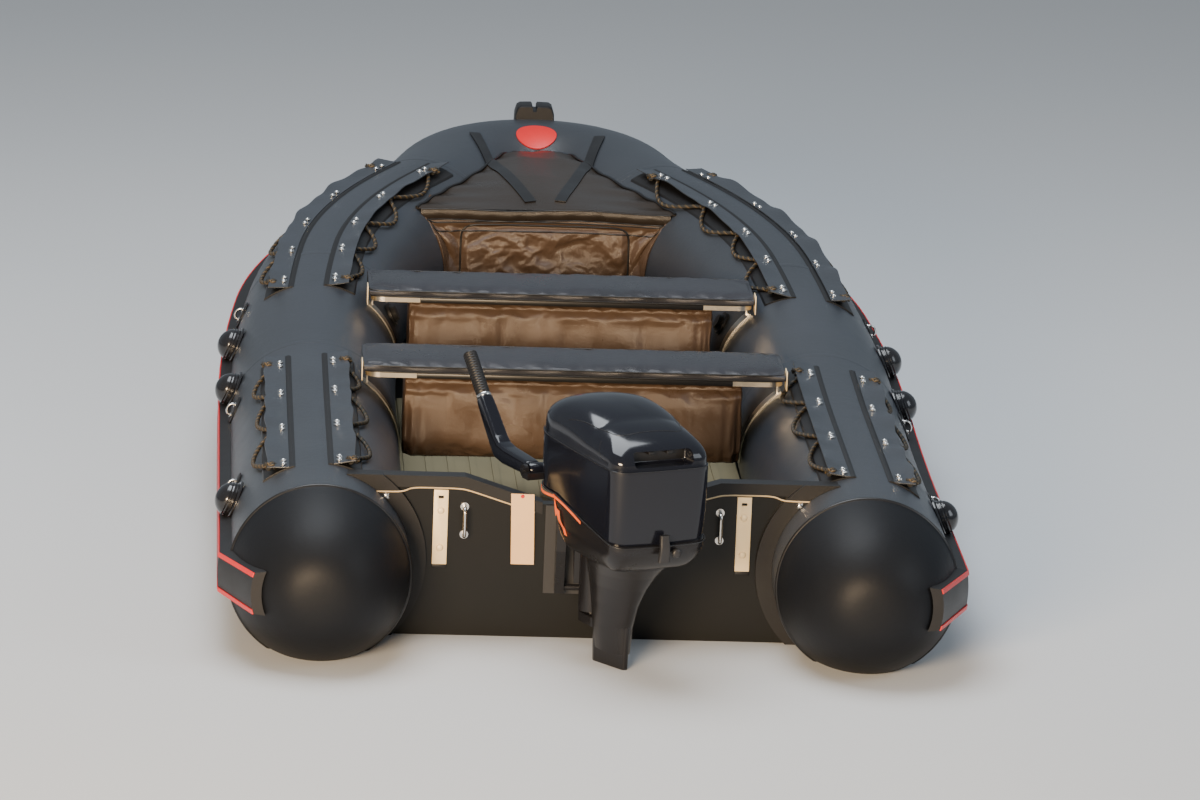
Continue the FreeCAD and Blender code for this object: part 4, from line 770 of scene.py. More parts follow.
def thwart_trim(name, half, station, foot, top, seat):
    """The dark lip along a board's aft edge, and the alloy ears at its ends."""
    shape = bmesh.new()
    box(shape, (-half + 0.14, station - 0.0042, foot), (half - 0.14, station - 0.0004, top), 0.0012, 2)
    settle(shape, name + "_board_lip", PIPING)
    shape = bmesh.new()
    for side in (-1, 1):
        inner, outer = sorted((side * (seat + 0.0012), side * (seat + 0.0042)))
        box(shape, (inner, station - 0.006, foot - 0.01), (outer, station + 0.052, top + 0.03), 0.0014, 2)
    # the ears' warm cream tint is a painted sun reflection on bright alloy
    settle(shape, name + "_thwart_ears", STRAP_ALLOY_PAINTED_SUN)


def seat_bag(name, low, high, bands, seed):
    """A bag of coated cloth under a thwart: stacked bulging bands over a sagging body."""
    shape = bmesh.new()
    middle = (low + high) / 2
    half = (high - low) / 2

    def bulge(z):
        for top, foot, depth in bands:
            if foot <= z <= top:
                return depth * math.sin(math.pi * (top - z) / (top - foot)) ** 0.6
        return 0.0

    def place(t, turn):
        share = rounded_share(t)
        end = (1 - abs(share) ** 10) ** (1 / 10)
        x = middle.x + half.x * share
        wide, up = power_round(turn, half.y * (0.8 + 0.2 * end), half.z * (0.9 + 0.1 * end), 6)
        z = middle.z + up
        drop = (high.z - z) / (high.z - low.z)
        swell = bulge(z) * (1 if wide < 0 else 0.6)
        crease = Vector((x * 5 + z * 6 + seed, z * 13 - x * 2, 3.1 + seed))
        fold = 0.008 * noise.noise(Vector((x * 6 + seed, z * 16, wide * 3)))
        fold += 0.0085 * (noise.ridged_multi_fractal(crease, 0.9, 2.1, 3, 1.0, 2.0) - 0.8)
        corner = 0.012 * math.sin(abs(share) * 75) * max(0.0, abs(share) - 0.84) * 6
        y = middle.y + wide - math.copysign(0.018 - swell - fold * drop - corner * drop, wide)
        sag = 0.01 * math.sin(x * 9 + seed) * max(0, drop - 0.7)
        return Vector((x, y, min(z + abs(sag), high.z)))

    loft(shape, 96, 68, place)

    def held(point):
        at_seam = any(abs(point.z - edge) < 0.003 for band in bands for edge in band[:2])
        return at_seam or point.y > low.y + 0.06 or point.z < low.z + 0.012

    shape = filled(shape, held, 0.009, 3.0, 0.035)
    node = name.replace("_pleated", "_seat")
    # the bag's brown colour is a painted warm sun reflection on black cloth
    bag = settle(shape, name, BAG_CLOTH_PAINTED_SUN, stands_for=[node], sharp=80)
    softened(bag)


REAR_BANDS = [(0.444, 0.424, 0.01), (0.424, 0.388, 0.016), (0.388, 0.344, 0.018), (0.344, 0.215, 0.014)]
FRONT_BANDS = [(0.482, 0.462, 0.01), (0.462, 0.424, 0.015), (0.424, 0.3, 0.016)]
thwart_cushion("rear_pad", Vector((-0.578, 1.04, 0.4585)), Vector((0.578, 1.32, 0.4843)), 1.7)
thwart_cushion("front_pad", Vector((-0.548, 1.84, 0.4965)), Vector((0.548, 2.12, 0.5223)), 4.2)
thwart_trim("rear", 0.572, 1.05, 0.4444, 0.458, 0.578)
thwart_trim("front", 0.542, 1.85, 0.4824, 0.496, 0.548)
seat_bag("rear_pleated_bag", Vector((-0.462, 1.058, 0.209)), Vector((0.462, 1.302, 0.4437)), REAR_BANDS, 0.6)
seat_bag("front_pleated_bag", Vector((-0.431, 1.858, 0.292)), Vector((0.431, 2.102, 0.4817)), FRONT_BANDS, 2.9)


# Bow dodger and the locker under it

# columns: distance along the tube, angle on the tube, crown over the edge
DODGER_ROWS = [
    (3.18, 125, 0.005), (3.34, 125, 0.012), (3.54, 125, 0.018), (3.76, 125, 0.018), (3.96, 129, 0.012),
    (4.11, 132, 0.006),
]


def dodger_edge(share):
    """Edge point and crown a share of the way from the hem to the nose."""
    distance, angle, crown = between(DODGER_ROWS, share)
    return on_tube(distance, angle, 0.0015), crown


def dodger_point(across, share, lift=0.0):
    edge, crown = dodger_edge(share)
    sag = 0.004 * math.sin(across * 5 + share * 7) * (1 - across * across)
    pull = 0.0035 * math.sin(share * 46) * abs(across) ** 3
    return Vector((edge.x * across, edge.y, edge.z + crown * (1 - across * across) + sag + pull + lift))


def bow_dodger():
    shape = bmesh.new()
    grid(shape, 80, 90, lambda u, v: dodger_point(u * 2 - 1, v))
    thicken(shape, 0.003)
    bmesh.ops.recalc_face_normals(shape, faces=shape.faces)
    # the cover's brown tint is a painted warm sun sheen on dark cloth
    cover = settle(shape, "dodger_cover", DODGER_CLOTH_PAINTED_SHEEN, stands_for=["bow_dodger"], sharp=60)
    lines = [([dodger_point(side * 0.995, step / 24, 0.003) for step in range(25)], 0.0042) for side in (-1, 1)]
    lines.append(([dodger_point(step / 12 - 1, 0.999, 0.003) for step in range(25)], 0.0036))
    line_piece("dodger_piping", lines)


bow_dodger()


# Outboard. Its pieces are laid out straight ahead of the steering axis, then turned with it.

STEER_AXIS = Vector((0, -0.13, 0))
STEER_TURN = Matrix.Rotation(math.radians(24), 3, "Z")
COWL_HALF, COWL_NOSE, COWL_TAIL, COWL_CORNER = 0.15, 0.13, 0.372, 0.042
SEAM_KNEE, SEAM_KNEE_RISE = -0.06, 0.446
BELT_RISE, ROOF_RISE = 0.566, 0.6905
# shares of cowl_skin's way: from the seam to the belt, and from there to the roof's middle
BELT_SHARE, ROOF_SHARE = 0.42, 0.58
LEDGE_SHARE, LEDGE_IN, LEDGE_RISE = 0.04, 0.018, 0.0022
RECESS_HALF, RECESS_BACK, RECESS_LOW, RECESS_HIGH = 0.084, -0.322, 0.576, 0.614


def motor_point(x, y, z):
    return STEER_AXIS + STEER_TURN @ Vector((x, y, z))


def motor_way(x, y, z):
    return STEER_TURN @ Vector((x, y, z))


def seam_rise(y):
    """Height of the seam between tray and cowl."""
    if y >= SEAM_KNEE:
        return SEAM_KNEE_RISE + 0.006 * (y - SEAM_KNEE) / (COWL_NOSE - SEAM_KNEE)
    return SEAM_KNEE_RISE - 0.074 * (SEAM_KNEE - y) / (COWL_TAIL + SEAM_KNEE)


def cowl_plan(turn, inset=0.0):
    """The cowl's outline from above: round nose, near-straight sides, firm rear corners."""
    half, nose, tail = COWL_HALF - inset, COWL_NOSE - inset, -COWL_TAIL + inset
    start = nose - half
    rear_half = half * 0.93
    corner = COWL_CORNER - inset * 0.4
    nose_run = math.pi * half / 2
    side_run = start - (tail + corner)
    corner_run = math.pi * corner / 2
    rear_run = rear_half - corner
    whole = nose_run + side_run + corner_run + rear_run
    side = 1 if turn < 0.5 else -1
    run = (turn if turn < 0.5 else 1 - turn) * 2 * whole
    if run < nose_run:
        angle = run / half
        return Vector((side * half * math.sin(angle), start + half * math.cos(angle), 0))
    run -= nose_run
    if run < side_run:
        share = run / side_run
        bow = 0.003 * math.sin(math.pi * share)
        return Vector((side * (half + (rear_half - half) * share + bow), start - run, 0))
    run -= side_run
    if run < corner_run:
        angle = run / corner
        across = rear_half - corner + corner * math.cos(angle)
        return Vector((side * across, tail + corner - corner * math.sin(angle), 0))
    run -= corner_run
    share = run / rear_run
    return Vector((side * (rear_half - corner) * (1 - share), tail - 0.004 * math.sin(math.pi * share / 2), 0))


def roof_rise(y):
    """The roof's line from nose to tail along the middle."""
    if y > -0.06:
        return ROOF_RISE - 0.03 * ((y + 0.06) / 0.19) ** 2
    if y > -0.215:
        return ROOF_RISE - 0.026 * ((-0.06 - y) / 0.155) ** 2
    return ROOF_RISE - 0.026 - 0.036 * ((-0.215 - y) / 0.157) ** 1.35


def belt_rise(y):
    return BELT_RISE + 0.03 * max(0.0, (y + COWL_TAIL) / 0.5)


def cowl_skin(t, turn):
    """Cowl surface from the seam (t=0) over the belt to the roof's middle (t=1)."""
    rim = cowl_plan(turn)
    belt = belt_rise(rim.y)
    low = seam_rise(rim.y) + 0.0006
    if t < BELT_SHARE:
        share = t / BELT_SHARE
        out = rim * (1 - 0.0045 * (1 - share) ** 3 / COWL_HALF)
        return motor_point(out.x, out.y, low + (belt - low) * share)
    middle = Vector((0, -0.115, 0))
    share = (t - BELT_SHARE) / ROOF_SHARE
    if share < LEDGE_SHARE:
        step = share / LEDGE_SHARE
        edge = middle + (rim - middle) * (1 - LEDGE_IN * step)
        return motor_point(edge.x, edge.y, belt + LEDGE_RISE * step)
    lift = (share - LEDGE_SHARE) / (1 - LEDGE_SHARE) * math.pi / 2
    edge = middle + (rim - middle) * (1 - LEDGE_IN) * max(math.cos(lift), 0) ** 0.47
    top = roof_rise(edge.y) - 0.014 * (edge.x / COWL_HALF) ** 2
    start = belt + LEDGE_RISE
    return motor_point(edge.x, edge.y, start + (top - start) * math.sin(lift) ** 0.54)


def cowl():
    shape, recess = bmesh.new(), bmesh.new()
    loft(shape, 64, 160, cowl_skin)
    box(recess, (-RECESS_HALF, -0.42, RECESS_LOW), (RECESS_HALF, RECESS_BACK, RECESS_HIGH), 0.01, 4,
        motor_point)
    settle(cut_away(shape, recess), "motor_cowl", MOTOR_GLOSS, "cowl", ["cowl"], 32)
    shape = bmesh.new()
    half = RECESS_HALF - 0.0005
    box(shape, (-half, RECESS_BACK - 0.001, RECESS_LOW + 0.0005),
        (half, RECESS_BACK + 0.0015, RECESS_HIGH - 0.0005), 0.001, 1, motor_point)
    for x in (-0.026, 0.026):
        box(shape, (x - 0.009, RECESS_BACK - 0.023, RECESS_HIGH - 0.012),
            (x + 0.009, RECESS_BACK, RECESS_HIGH - 0.002), 0.003, 2, motor_point)
    settle(shape, "cowl_recess_back", PIPING, "cowl")


def tray_skin(t, turn):
    """The tray from the seam (t=0) round its bowl to the middle of its foot (t=1)."""
    rim = cowl_plan(turn, 0.0035)
    top = seam_rise(rim.y) - 0.0006
    middle = Vector((0, -0.19, 0))
    lift = t * math.pi / 2
    pull = max(math.cos(lift), 0) ** 0.42
    edge = middle + (rim - middle) * pull
    if edge.y > -0.052:
        foot = 0.431 + 0.01 * min(1, (edge.y + 0.052) / 0.15)
    else:
        foot = 0.29 + (0.431 - 0.29) * max(0.0, 1 - ((-0.052 - edge.y) / 0.02)) ** 2
    foot += 0.05 * max(0.0, (-edge.y - 0.3) / 0.072) ** 2
    foot += 0.04 * max(0.0, (abs(edge.x) - 0.09) / 0.06) ** 2
    foot = min(foot, seam_rise(edge.y) - 0.01)
    return motor_point(edge.x, edge.y, top + (foot - top) * math.sin(lift) ** 0.42)


def seam_gasket():
    """The rubber strip that shows between tray and cowl."""
    shape = bmesh.new()

    def place(t, turn):
        rim = cowl_plan(t)
        out = Vector((rim.x, rim.y + 0.115, 0)).normalized()
        edge = math.tau * turn
        x = rim.x + out.x * (0.0022 * math.cos(edge) - 0.0012)
        y = rim.y + out.y * (0.0022 * math.cos(edge) - 0.0012)
        return motor_point(x, y, seam_rise(rim.y) - 0.0028 + 0.0022 * math.sin(edge))

    loft(shape, 200, 8, place, caps=False)
    settle(shape, "seam_gasket", PIPING, "motor", sharp=80)


def tiller():
    """Cast arm with soft edges, a bright ring and a ribbed grip."""
    x, hinge_y, hinge_z = -0.1, 0.152, 0.455
    reach, arm, pitch = 0.2, 0.165, math.radians(46)
    elbow_y, elbow_z = hinge_y + reach, hinge_z + 0.006
    ahead, up = math.cos(pitch), math.sin(pitch)

    # columns: place along, height, half width, half height, lean of the section
    stations = [
        (hinge_y + 0.016, hinge_z, 0.0205, 0.0185, 0.0),
        (hinge_y + 0.06, hinge_z + 0.001, 0.0215, 0.0205, 0.0),
        (elbow_y - 0.045, elbow_z - 0.003, 0.022, 0.0235, 0.1),
        (elbow_y - 0.004, elbow_z + 0.004, 0.0218, 0.025, 0.45),
        (elbow_y + 0.03 * ahead, elbow_z + 0.034 * up, 0.0212, 0.0225, pitch),
        (elbow_y + 0.11 * ahead, elbow_z + 0.112 * up, 0.02, 0.0195, pitch),
        (elbow_y + arm * ahead, elbow_z + arm * up, 0.0185, 0.0172, pitch),
    ]

    def place(t, turn):
        y, z, half_wide, half_high, lean = between(stations, t, eased=(2, 3))
        end = 0.8 + 0.2 * (1 - abs(2 * t - 1) ** 24) ** 0.4
        across, tall = power_round(turn, half_wide * end, half_high * end, 5)
        return motor_point(x + across, y - tall * math.sin(lean), z + tall * math.cos(lean))

    shape = bmesh.new()
    loft(shape, 72, 40, place)
    eye = [(0.0075, 0.0), (0.0175, 0.0), (0.019, 0.002), (0.019, 0.042), (0.0175, 0.044), (0.0075, 0.044)]
    turned(shape, eye + [eye[0]], motor_point(x - 0.022, hinge_y, hinge_z), motor_way(1, 0, 0), 32)
    settle(shape, "cast_tiller_arm", MOTOR_GLOSS, "tiller", ["tiller_arm"], 50)

    axis = motor_way(0, ahead, up)
    start = motor_point(x, elbow_y + arm * ahead, elbow_z + arm * up)
    ring = [(0.015, -0.004), (0.0192, -0.004), (0.02, -0.0025), (0.02, 0.003), (0.0192, 0.0045),
            (0.015, 0.0045)]
    shape = bmesh.new()
    turned(shape, ring + [ring[0]], start, axis, 40)
    settle(shape, "tiller_ring", STAINLESS, "tiller", sharp=40)
    profile = [(0.0, 0.004), (0.015, 0.004), (0.0172, 0.006)]
    for rib in range(15):
        foot = 0.01 + rib * 0.0078
        profile += [(0.0174, foot), (0.0188, foot + 0.0016), (0.0188, foot + 0.005), (0.0174, foot + 0.0064)]
    profile += [(0.0188, 0.128), (0.018, 0.1325), (0.014, 0.1348), (0.0, 0.135)]
    shape = bmesh.new()
    turned(shape, profile, start, axis, 40)
    settle(shape, "ribbed_tiller_grip", BLACK_RUBBER, "tiller", ["tiller_grip"], 50)


def motor_tray():
    shape = bmesh.new()
    loft(shape, 56, 160, tray_skin)
    settle(shape, "motor_tray_bowl", MOTOR_PAINT, "motor", ["motor_tray"], 50)


cowl()
motor_tray()
seam_gasket()
tiller()


# Stern cones, seams and the transom's fittings

def spun_line(points, resolution=10):
    """A smooth profile of (radius, height) pairs through the pull of these points."""
    return [(max(point.x, 0.0), point.z) for point in spline_path([(r, 0, h) for r, h in points], resolution)]


def stern_cones():
    profile = spun_line([
        (0.2353, -0.001), (0.232, 0.012), (0.219, 0.062), (0.2, 0.118), (0.176, 0.17), (0.144, 0.216),
        (0.1, 0.256), (0.045, 0.2745), (0.0, 0.2745),
    ])
    tape = [(0.2352, -0.017), (0.2362, -0.0155), (0.2362, -0.003), (0.2385, -0.0015), (0.2388, 0.0015),
            (0.2368, 0.004), (0.2325, 0.006)]
    skins, tapes = bmesh.new(), bmesh.new()
    for side in (-1, 1):
        foot = Vector((side * 0.706, -0.178, 0.2))
        turned(skins, profile, foot, (0, -1, 0), 96)
        turned(tapes, tape, foot, (0, -1, 0), 96)
    settle(skins, "stern_cone_skins", CONE_CLOTH, stands_for=["stern_cones"])
    settle(tapes, "stern_cone_tapes", PIPING, sharp=60)


def tube_seams():
    """Welded tapes across the tube where its panels meet."""
    shape = bmesh.new()
    for distance, width in ((1.6, 0.03), (2.48, 0.03), (3.56, 0.026)):
        for side in (-1, 1):
            def place(u, v):
                edge = 1 - abs(2 * u - 1) ** 8
                return on_tube(distance + width * (u - 0.5), 360 * v, 0.0009 * edge - 0.0001, side)

            weld(shape, grid(shape, 8, 120, place))
    bmesh.ops.recalc_face_normals(shape, faces=shape.faces)
    settle(shape, "tube_seam_tapes", TUBE_CLOTH, sharp=60)


def studs(shape, places, onward, radius=0.006, rise=0.0045, washer=1.5, steps=20):
    """Domed bolt heads on washers, all facing the same way."""
    profile = [(radius * washer, 0), (radius * washer, 0.0012), (radius * 1.05, 0.0018), (radius, 0.0024)]
    for step in range(1, 6):
        lift = math.pi / 2 * step / 5
        profile.append((radius * math.cos(lift), 0.0024 + (rise - 0.0024) * math.sin(lift)))
    profile[-1] = (0, rise)
    for place in places:
        turned(shape, profile, place, onward, steps)


def transom_fittings():
    shape = bmesh.new()
    studs(shape, [Vector((side * 0.537, -0.0182, 0.372)) for side in (-1, 1)], (0, -1, 0), 0.0085, 0.0065, 1.15)
    settle(shape, "transom_studs", STAINLESS)
    # a thin round line along the transom's top edge, coloured gold as a painted sun highlight
    edge = [(0.6, 0.384), (0.52, 0.384), (0.49, 0.386), (0.47, 0.3935), (0.4, 0.3935), (0.345, 0.3932),
            (0.318, 0.388), (0.24, 0.363), (0.15, 0.3345)]
    lines = []
    for side in (-1, 1):
        lines.append(([Vector((side * x, -0.0195 if x > 0.48 else -0.0045, z)) for x, z in edge], 0.0022))
    line_piece("transom_edge_highlight", lines, EDGE_HIGHLIGHT)


def wheel_straps():
    """Flat alloy straps with a slot, two domed bolts and a rubber foot."""
    straps, heads, feet = bmesh.new(), bmesh.new(), bmesh.new()
    for middle in (-0.394, 0.394):
        strap, slot = bmesh.new(), bmesh.new()
        box(strap, (middle - 0.019, -0.006, 0.19), (middle + 0.019, -0.0002, 0.389), 0.0016, 2)
        box(slot, (middle - 0.007, -0.01, 0.366), (middle + 0.007, 0.004, 0.3735))
        part = as_object(cut_away(strap, slot), "strap")
        straps.from_mesh(part.data)
        discard(part)
        places = [Vector((middle, -0.0058, z)) for z in (0.334, 0.235)]
        studs(heads, places, (0, -1, 0), 0.0085, 0.0062, 1.12, 28)
        box(feet, (middle - 0.0185, -0.0066, 0.1802), (middle + 0.0185, -0.0002, 0.1902), 0.0015, 2)
    # the straps' warm cream tint is a painted sun reflection on bright alloy
    settle(straps, "wheel_straps", STRAP_ALLOY_PAINTED_SUN, stands_for=["wheel_brackets"])
    settle(heads, "wheel_strap_bolts", STRAP_ALLOY_PAINTED_SUN)
    settle(feet, "wheel_strap_feet", BLACK_RUBBER)


def blank_tag():
    """A plain card tag tied to the transom's edge beside the motor."""
    shape = bmesh.new()

    def place(u, v):
        x = -0.213 + 0.06 * u + 0.005 * v
        z = 0.384 - 0.188 * v
        curl = 0.0035 * math.sin(math.pi * v) + 0.003 * (1 - v) * u
        return Vector((x, -0.0072 - curl, z))

    grid(shape, 10, 24, place)
    thicken(shape, 0.0008)
    settle(shape, "blank_tag", CARD, sharp=50)
    shape = bmesh.new()
    studs(shape, [Vector((-0.183, -0.0088, 0.3775))], (0, -1, 0), 0.004, 0.002, 1.3)
    settle(shape, "tag_eyelet", RED_RUBBER, sharp=60)


def stop_lanyard():
    """The flat orange stop line along the cowl's lower edge, with its two loose tails."""
    shape = bmesh.new()

    def line(u, v):
        turn = 0.93 - 0.225 * u
        rim = cowl_plan(turn, -0.0018)
        z = seam_rise(rim.y) - 0.0105 - 0.004 * math.sin(math.pi * u * 2)
        return motor_point(rim.x, rim.y, z + 0.007 * (v - 0.5))

    grid(shape, 90, 3, line)
    for start, end, length, width in ((0.8, 0.835, 0.4, 0.0115), (0.792, 0.77, 0.28, 0.01)):
        def tail(u, v):
            point = tray_skin(0.035 + length * u, start + (end - start) * u + width * (v - 0.5))
            return point + motor_way(-0.0026 - 0.002 * math.sin(u * 7), 0, 0)

        grid(shape, 40, 4, tail)
    thicken(shape, 0.0012)
    settle(shape, "stop_line", ORANGE_WEBBING, "motor", sharp=60)


stern_cones()
tube_seams()
transom_fittings()
wheel_straps()
blank_tag()
stop_lanyard()


# Bow locker under the dodger, its piping, and the webbing over the dodger

LOCKER_FACE, LOCKER_BACK, LOCKER_FOOT, LOCKER_TOP, LOCKER_HALF = 2.918, 3.06, 0.217, 0.523, 0.378
BOW_AXIS = [tube_frame(2.7 + 0.02 * step) for step in range(70)]


def outside_tube(point, gap=0.0015):
    """Pushes a point that lies inside the tube straight out to its skin."""
    side = 1 if point.x >= 0 else -1
    here = Vector((abs(point.x), point.y, point.z))
    centre, _, _, onward = min(BOW_AXIS, key=lambda frame: (frame[0] - here).length_squared)
    away = here - centre
    away -= onward * away.dot(onward)
    short = TUBE_RADIUS + gap - away.length
    if short > 0:
        here += away.normalized() * short
    return Vector((here.x * side, here.y, here.z))


def panel_edge(x, z):
    """How far a point lies outside the piped panel's rounded rim."""
    across, up = abs(x) - 0.25 + 0.03, abs(z - 0.36) - 0.136 + 0.03
    outside = math.hypot(max(across, 0), max(up, 0))
    return outside + min(max(across, up), 0) - 0.03


def locker_top(x):
    return min(LOCKER_TOP, 0.5205 - 0.012 * (x / LOCKER_HALF) ** 2)


def locker_face(x, drop):
    """The crinkled front: hem band, flat panel, and pleats fanned from the upper corners."""
    top = locker_top(x)
    z = top + (LOCKER_FOOT - top) * drop
    rim = panel_edge(x, z)
    slant = Vector((x * 5.5 + z * 7.0, z * 9.0 - x * 6.0, 4.7))
    slant += 0.5 * noise.noise_vector(Vector((x * 6, z * 6, 9.0)))
    ridged = noise.ridged_multi_fractal(slant, 0.8, 2.2, 4, 1.0, 2.0)
    inside = min(1.0, max(0.0, -rim / 0.022))
    bulge = 0.0085 * ridged * inside + 0.003 * inside
    corner = Vector((0.385 - abs(x), 0.53 - z))
    bearing = math.atan2(corner.x, corner.y)
    outer = min(1.0, max(0.0, (abs(x) - 0.256) / 0.03))
    pleat = abs(math.sin(bearing * 9.5 + 0.6 * noise.noise(Vector((x * 9, z * 9, 2.0))))) ** 0.8
    bulge += outer * 0.016 * pleat * min(1.0, corner.length / 0.1)
    band = max(0.0, 1 - ((top - z - 0.013) / 0.015) ** 2) ** 0.5 if abs(top - z - 0.013) < 0.015 else 0.0
    bulge = max(bulge * min(1.0, max(0.0, top - z - 0.018) / 0.02), 0.009 * band)
    return outside_tube(Vector((x, LOCKER_FACE - bulge, z)))


def bow_locker():
    shape = bmesh.new()

    def place(t, turn):
        x = LOCKER_HALF * (2 * t - 1)
        if turn <= 0.66:
            return locker_face(x, 1 - turn / 0.66)
        if turn <= 0.74:
            along = (turn - 0.66) / 0.08
            y = LOCKER_FACE + (LOCKER_BACK - LOCKER_FACE) * along
            return outside_tube(Vector((x, y, LOCKER_TOP - 0.012)))
        if turn <= 0.92:
            along = (turn - 0.74) / 0.18
            z = LOCKER_TOP - 0.012 + (LOCKER_FOOT - LOCKER_TOP + 0.012) * along
            return outside_tube(Vector((x, LOCKER_BACK, z)))
        along = (turn - 0.92) / 0.08
        return outside_tube(Vector((x, LOCKER_BACK + (LOCKER_FACE - LOCKER_BACK) * along, LOCKER_FOOT)))

    loft(shape, 116, 84, place)

    def held(point):
        return point.y > LOCKER_FACE + 0.01 or abs(panel_edge(point.x, point.z)) < 0.007 or point.z > 0.47

    shape = filled(shape, held, 0.008, 2.0, 0.03)
    # the locker's brown colour is a painted warm sun reflection on black cloth
    locker = settle(shape, "bow_locker", BAG_CLOTH_PAINTED_SUN, stands_for=["bow_bag"], sharp=80)
    softened(locker)

    def on_face(x, z):
        top = locker_top(x)
        return locker_face(x, (z - top) / (LOCKER_FOOT - top)) + Vector((0, -0.0012, 0))

    rim = [power_round(step / 64, 0.2505, 0.1365, 10) for step in range(65)]
    lines = [([on_face(across, 0.36 + up) for across, up in rim], 0.0032)]
    for z in (0.5065, 0.479):
        shares = [step / 20 - 1 for step in range(41)]
        lines.append(([on_face(0.366 * share, z - 0.01 * share ** 2) for share in shares], 0.0022))
    line_piece("locker_piping", lines)


def dodger_straps():
    """Webbing from the tube's crown, over the dodger's piped edge, to its middle."""
    cover = bmesh.new()
    grid(cover, 60, 60, lambda u, v: dodger_point(u * 2 - 1, v))
    for side in (-1, 1):
        grid(cover, 60, 24, lambda u, v: on_tube(3.3 + 0.75 * u, 80 + 60 * v, 0.002, side))
    bmesh.ops.recalc_face_normals(cover, faces=cover.faces)
    tree = BVHTree.FromBMesh(cover)
    cover.free()
    shape = bmesh.new()
    for side in (-1, 1):
        start, end = Vector((side * 0.192, 3.61, 0)), Vector((side * 0.044, 2.975, 0))
        across = (end - start).cross(Vector((0, 0, 1))).normalized() * 0.017

        def place(u, v):
            spot = start + (end - start) * u + across * (2 * v - 1)
            hit = tree.ray_cast(Vector((spot.x, spot.y, 1.0)), Vector((0, 0, -1)))[0]
            return Vector((spot.x, spot.y, (hit.z if hit else 0.62) + 0.0035))

        grid(shape, 80, 6, place)
    bmesh.ops.smooth_vert(
        shape, verts=shape.verts, factor=0.5, use_axis_x=False, use_axis_y=False, use_axis_z=True)
    thicken(shape, 0.0022)
    settle(shape, "dodger_straps", PIPING, sharp=60)


def dodger_hem():
    """The doubled hem band that hangs from the cover's edge down onto the locker."""

    def face(u, v):
        edge = dodger_point(1.92 * u - 0.96, 0.0)
        swell = 0.0045 * math.sin(math.pi * v) + 0.0015 * math.sin(u * 60) * v
        return Vector((edge.x, edge.y - 0.0035 - swell + 0.004 * v, edge.z - 0.001 - 0.034 * v))

    def place(t, turn):
        point = face(t, 1 - abs(2 * turn - 1))
        return point + Vector((0, 0.0026 if turn > 0.5 else 0.0, 0))

    shape = bmesh.new()
    loft(shape, 140, 28, place)
    # the hem's brown tint is a painted warm sun sheen on dark cloth
    settle(shape, "dodger_hem", DODGER_CLOTH_PAINTED_SHEEN, sharp=60)
    lines = []
    for level in (0.03, 0.97):
        lines.append(([face(step / 60, level) + Vector((0, -0.0015, 0)) for step in range(61)], 0.0021))
    line_piece("dodger_hem_piping", lines)


def fairlead():
    """Rubber block with soft edges and a narrow notch, seated on the crown."""
    crown, foot, top = 0.6512, 0.62, 0.6905
    outline = [
        (-0.062, foot), (0.062, foot), (0.0605, crown + 0.012), (0.054, top - 0.007), (0.044, top - 0.001),
        (0.01, top), (0.0068, top - 0.004), (0.006, top - 0.016), (-0.006, top - 0.016), (-0.0068, top - 0.004),
        (-0.01, top), (-0.044, top - 0.001), (-0.054, top - 0.007), (-0.0605, crown + 0.012),
    ]
    # columns: place along, and how far the edges draw in there
    loops = [(3.804, 0.94), (3.808, 0.98), (3.816, 1.0), (3.88, 1.0), (3.888, 0.98), (3.892, 0.94)]

    def place(t, turn):
        y, pinch = loops[round(t * (len(loops) - 1))]
        reach = turn * len(outline)
        corner, share = int(reach) % len(outline), reach - int(reach)
        here, there = Vector(outline[corner]), Vector(outline[(corner + 1) % len(outline)])
        x, z = here + (there - here) * share
        return Vector((x * pinch, y, foot + (z - foot) * pinch))

    shape = bmesh.new()
    loft(shape, len(loops) - 1, len(outline) * 2, place)
    settle(shape, "bow_line_fairlead", BLACK_RUBBER, stands_for=["bow_fairlead"], sharp=35)


bow_locker()
dodger_straps()
dodger_hem()
fairlead()


# Outboard trim: panel lines, the rear latch and the leg

def cowl_panel_lines():
    """The joint behind the roof, the lines beside the recess, and the belt."""

    def over(share, turn):
        return cowl_skin(BELT_SHARE + ROOF_SHARE * share, turn)

    arc = []
    for step in range(41):
        turn = 0.22 + 0.56 * step / 40
        rear = math.sin(math.pi * (turn - 0.22) / 0.56)
        arc.append(over(0.34 + 0.4 * rear ** 0.7, turn))
    lines = [(arc, 0.0011)]
    shares = [(0.4, 0.15), (0.3, 0.152), (0.14, 0.15), (0.085, 0.14), (0.075, 0.12), (0.075, 0.075)]
    for side in (-1, 1):
        lines.append(([over(share, 0.5 + side * shift) for share, shift in shares], 0.001))
    lines.append(([over(0, step / 120) for step in range(121)], 0.0012))
    line_piece("cowl_panel_lines", lines, body="cowl")


def rear_latch():
    shape = bmesh.new()

    def lever(t, turn):
        z = 0.33 + 0.07 * t
        wide, deep = power_round(turn, 0.015 - 0.0035 * t, 0.0065, 5)
        swell = 0.0045 * math.sin(math.pi * t) ** 2
        return motor_point(wide, -0.384 - deep - swell, z)

    loft(shape, 24, 32, lever)
    knob = [(0.0, 0.0), (0.012, 0.0), (0.012, 0.006), (0.0112, 0.0085), (0.0085, 0.0105), (0.0, 0.0115)]
    turned(shape, knob, motor_point(0.038, -0.3765, 0.35), motor_way(0, -1, 0), 32)
    settle(shape, "rear_latch", BLACK_PLASTIC, "motor", ["cowl_latch"], 50)


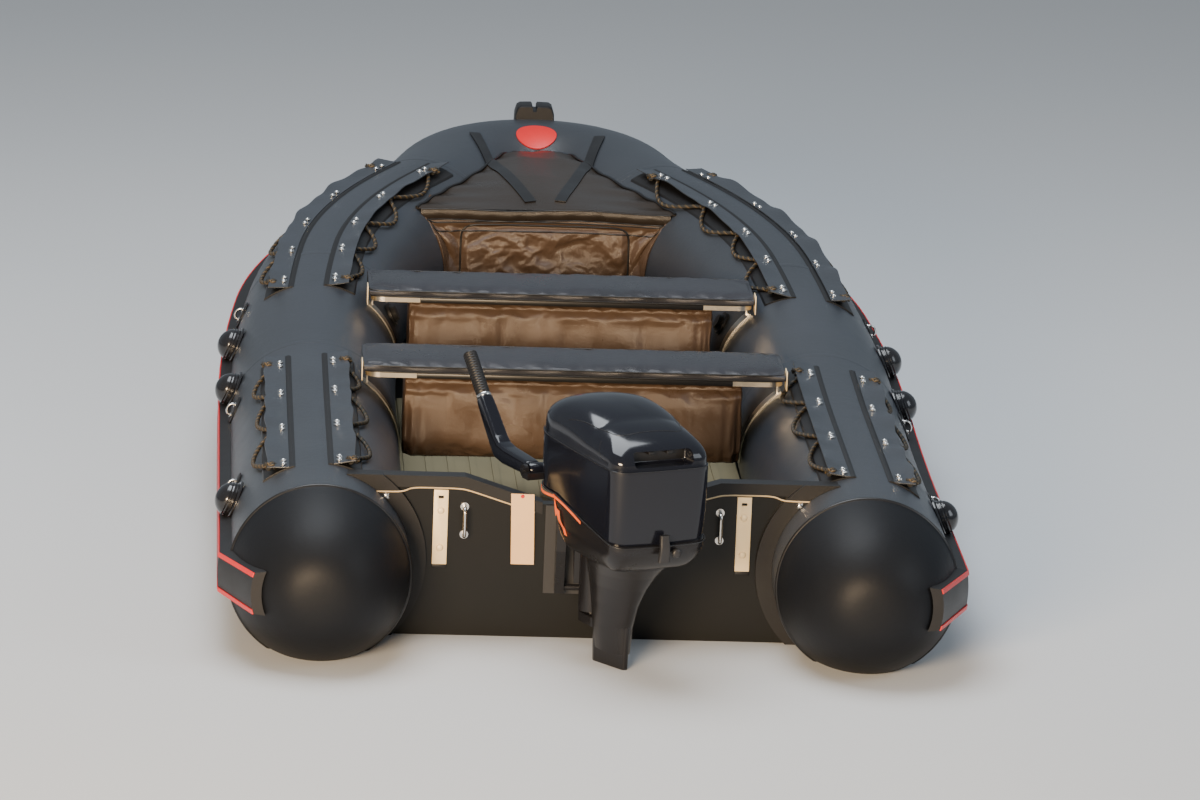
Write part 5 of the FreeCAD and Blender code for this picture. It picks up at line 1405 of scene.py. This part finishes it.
def leg_fairing():
    """The funnel between the tray's foot and the slim leg."""
    shape = bmesh.new()

    # columns: height, half width, front and back from the steering axis
    stations = [
        (0.305, 0.098, -0.068, -0.318), (0.288, 0.094, -0.066, -0.308), (0.26, 0.082, -0.06, -0.284),
        (0.22, 0.067, -0.054, -0.256), (0.17, 0.055, -0.0525, -0.228), (0.11, 0.046, -0.054, -0.204),
        (0.04, 0.0385, -0.056, -0.199),
    ]

    def place(t, turn):
        z, half, front, back = between(stations, t)
        across, along = power_round(turn, half, (front - back) / 2, 2.6)
        taper = 1 - 0.45 * max(0.0, -along / ((front - back) / 2)) ** 1.4 * min(1, t * 1.6)
        return motor_point(across * taper, (front + back) / 2 + along, z)

    loft(shape, 60, 96, place)
    settle(shape, "leg_fairing", MOTOR_PAINT, "motor", sharp=50)


cowl_panel_lines()
rear_latch()
leg_fairing()


# Water line as a plain pale floor, and soft studio light

def pale_floor():
    shape = bmesh.new()
    bmesh.ops.create_grid(shape, x_segments=1, y_segments=1, size=40)
    floor = as_object(shape, "floor")
    material = bpy.data.materials.new("floor_paper")
    material.use_nodes = True
    surface = material.node_tree.nodes["Principled BSDF"]
    surface.inputs["Base Color"].default_value = (0.62, 0.64, 0.66, 1)
    surface.inputs["Roughness"].default_value = 0.8
    floor.data.materials.append(material)


# columns: name, place, what it looks at, size, power, colour
LIGHTS = [
    ("key", (-3.5, -9.0, 2.6), (0, 1.0, 0.3), (3.6, 1.6), 2100, (1.0, 0.74, 0.47)),
    ("fill", (7.0, -2.0, 4.5), (0, 1.5, 0.3), (4.0, 4.0), 170, (0.86, 0.93, 1.0)),
    ("top", (-1.0, 1.5, 6.5), (0, 0.9, 0.2), (5.0, 4.0), 470, (0.9, 0.95, 1.0)),
]


def studio():
    pale_floor()
    for name, place, aim, size, power, colour in LIGHTS:
        data = bpy.data.lights.new(name, "AREA")
        data.shape = "RECTANGLE"
        data.size, data.size_y = size
        data.energy = power
        data.color = colour
        light = bpy.data.objects.new(name, data)
        light.location = place
        light.rotation_euler = (Vector(aim) - Vector(place)).to_track_quat("-Z", "Y").to_euler()
        bpy.context.scene.collection.objects.link(light)
    world = bpy.data.worlds.new("studio")
    world.use_nodes = True
    background = world.node_tree.nodes["Background"]
    background.inputs["Color"].default_value = (0.62, 0.7, 0.78, 1)
    background.inputs["Strength"].default_value = 0.42
    bpy.context.scene.world = world


studio()
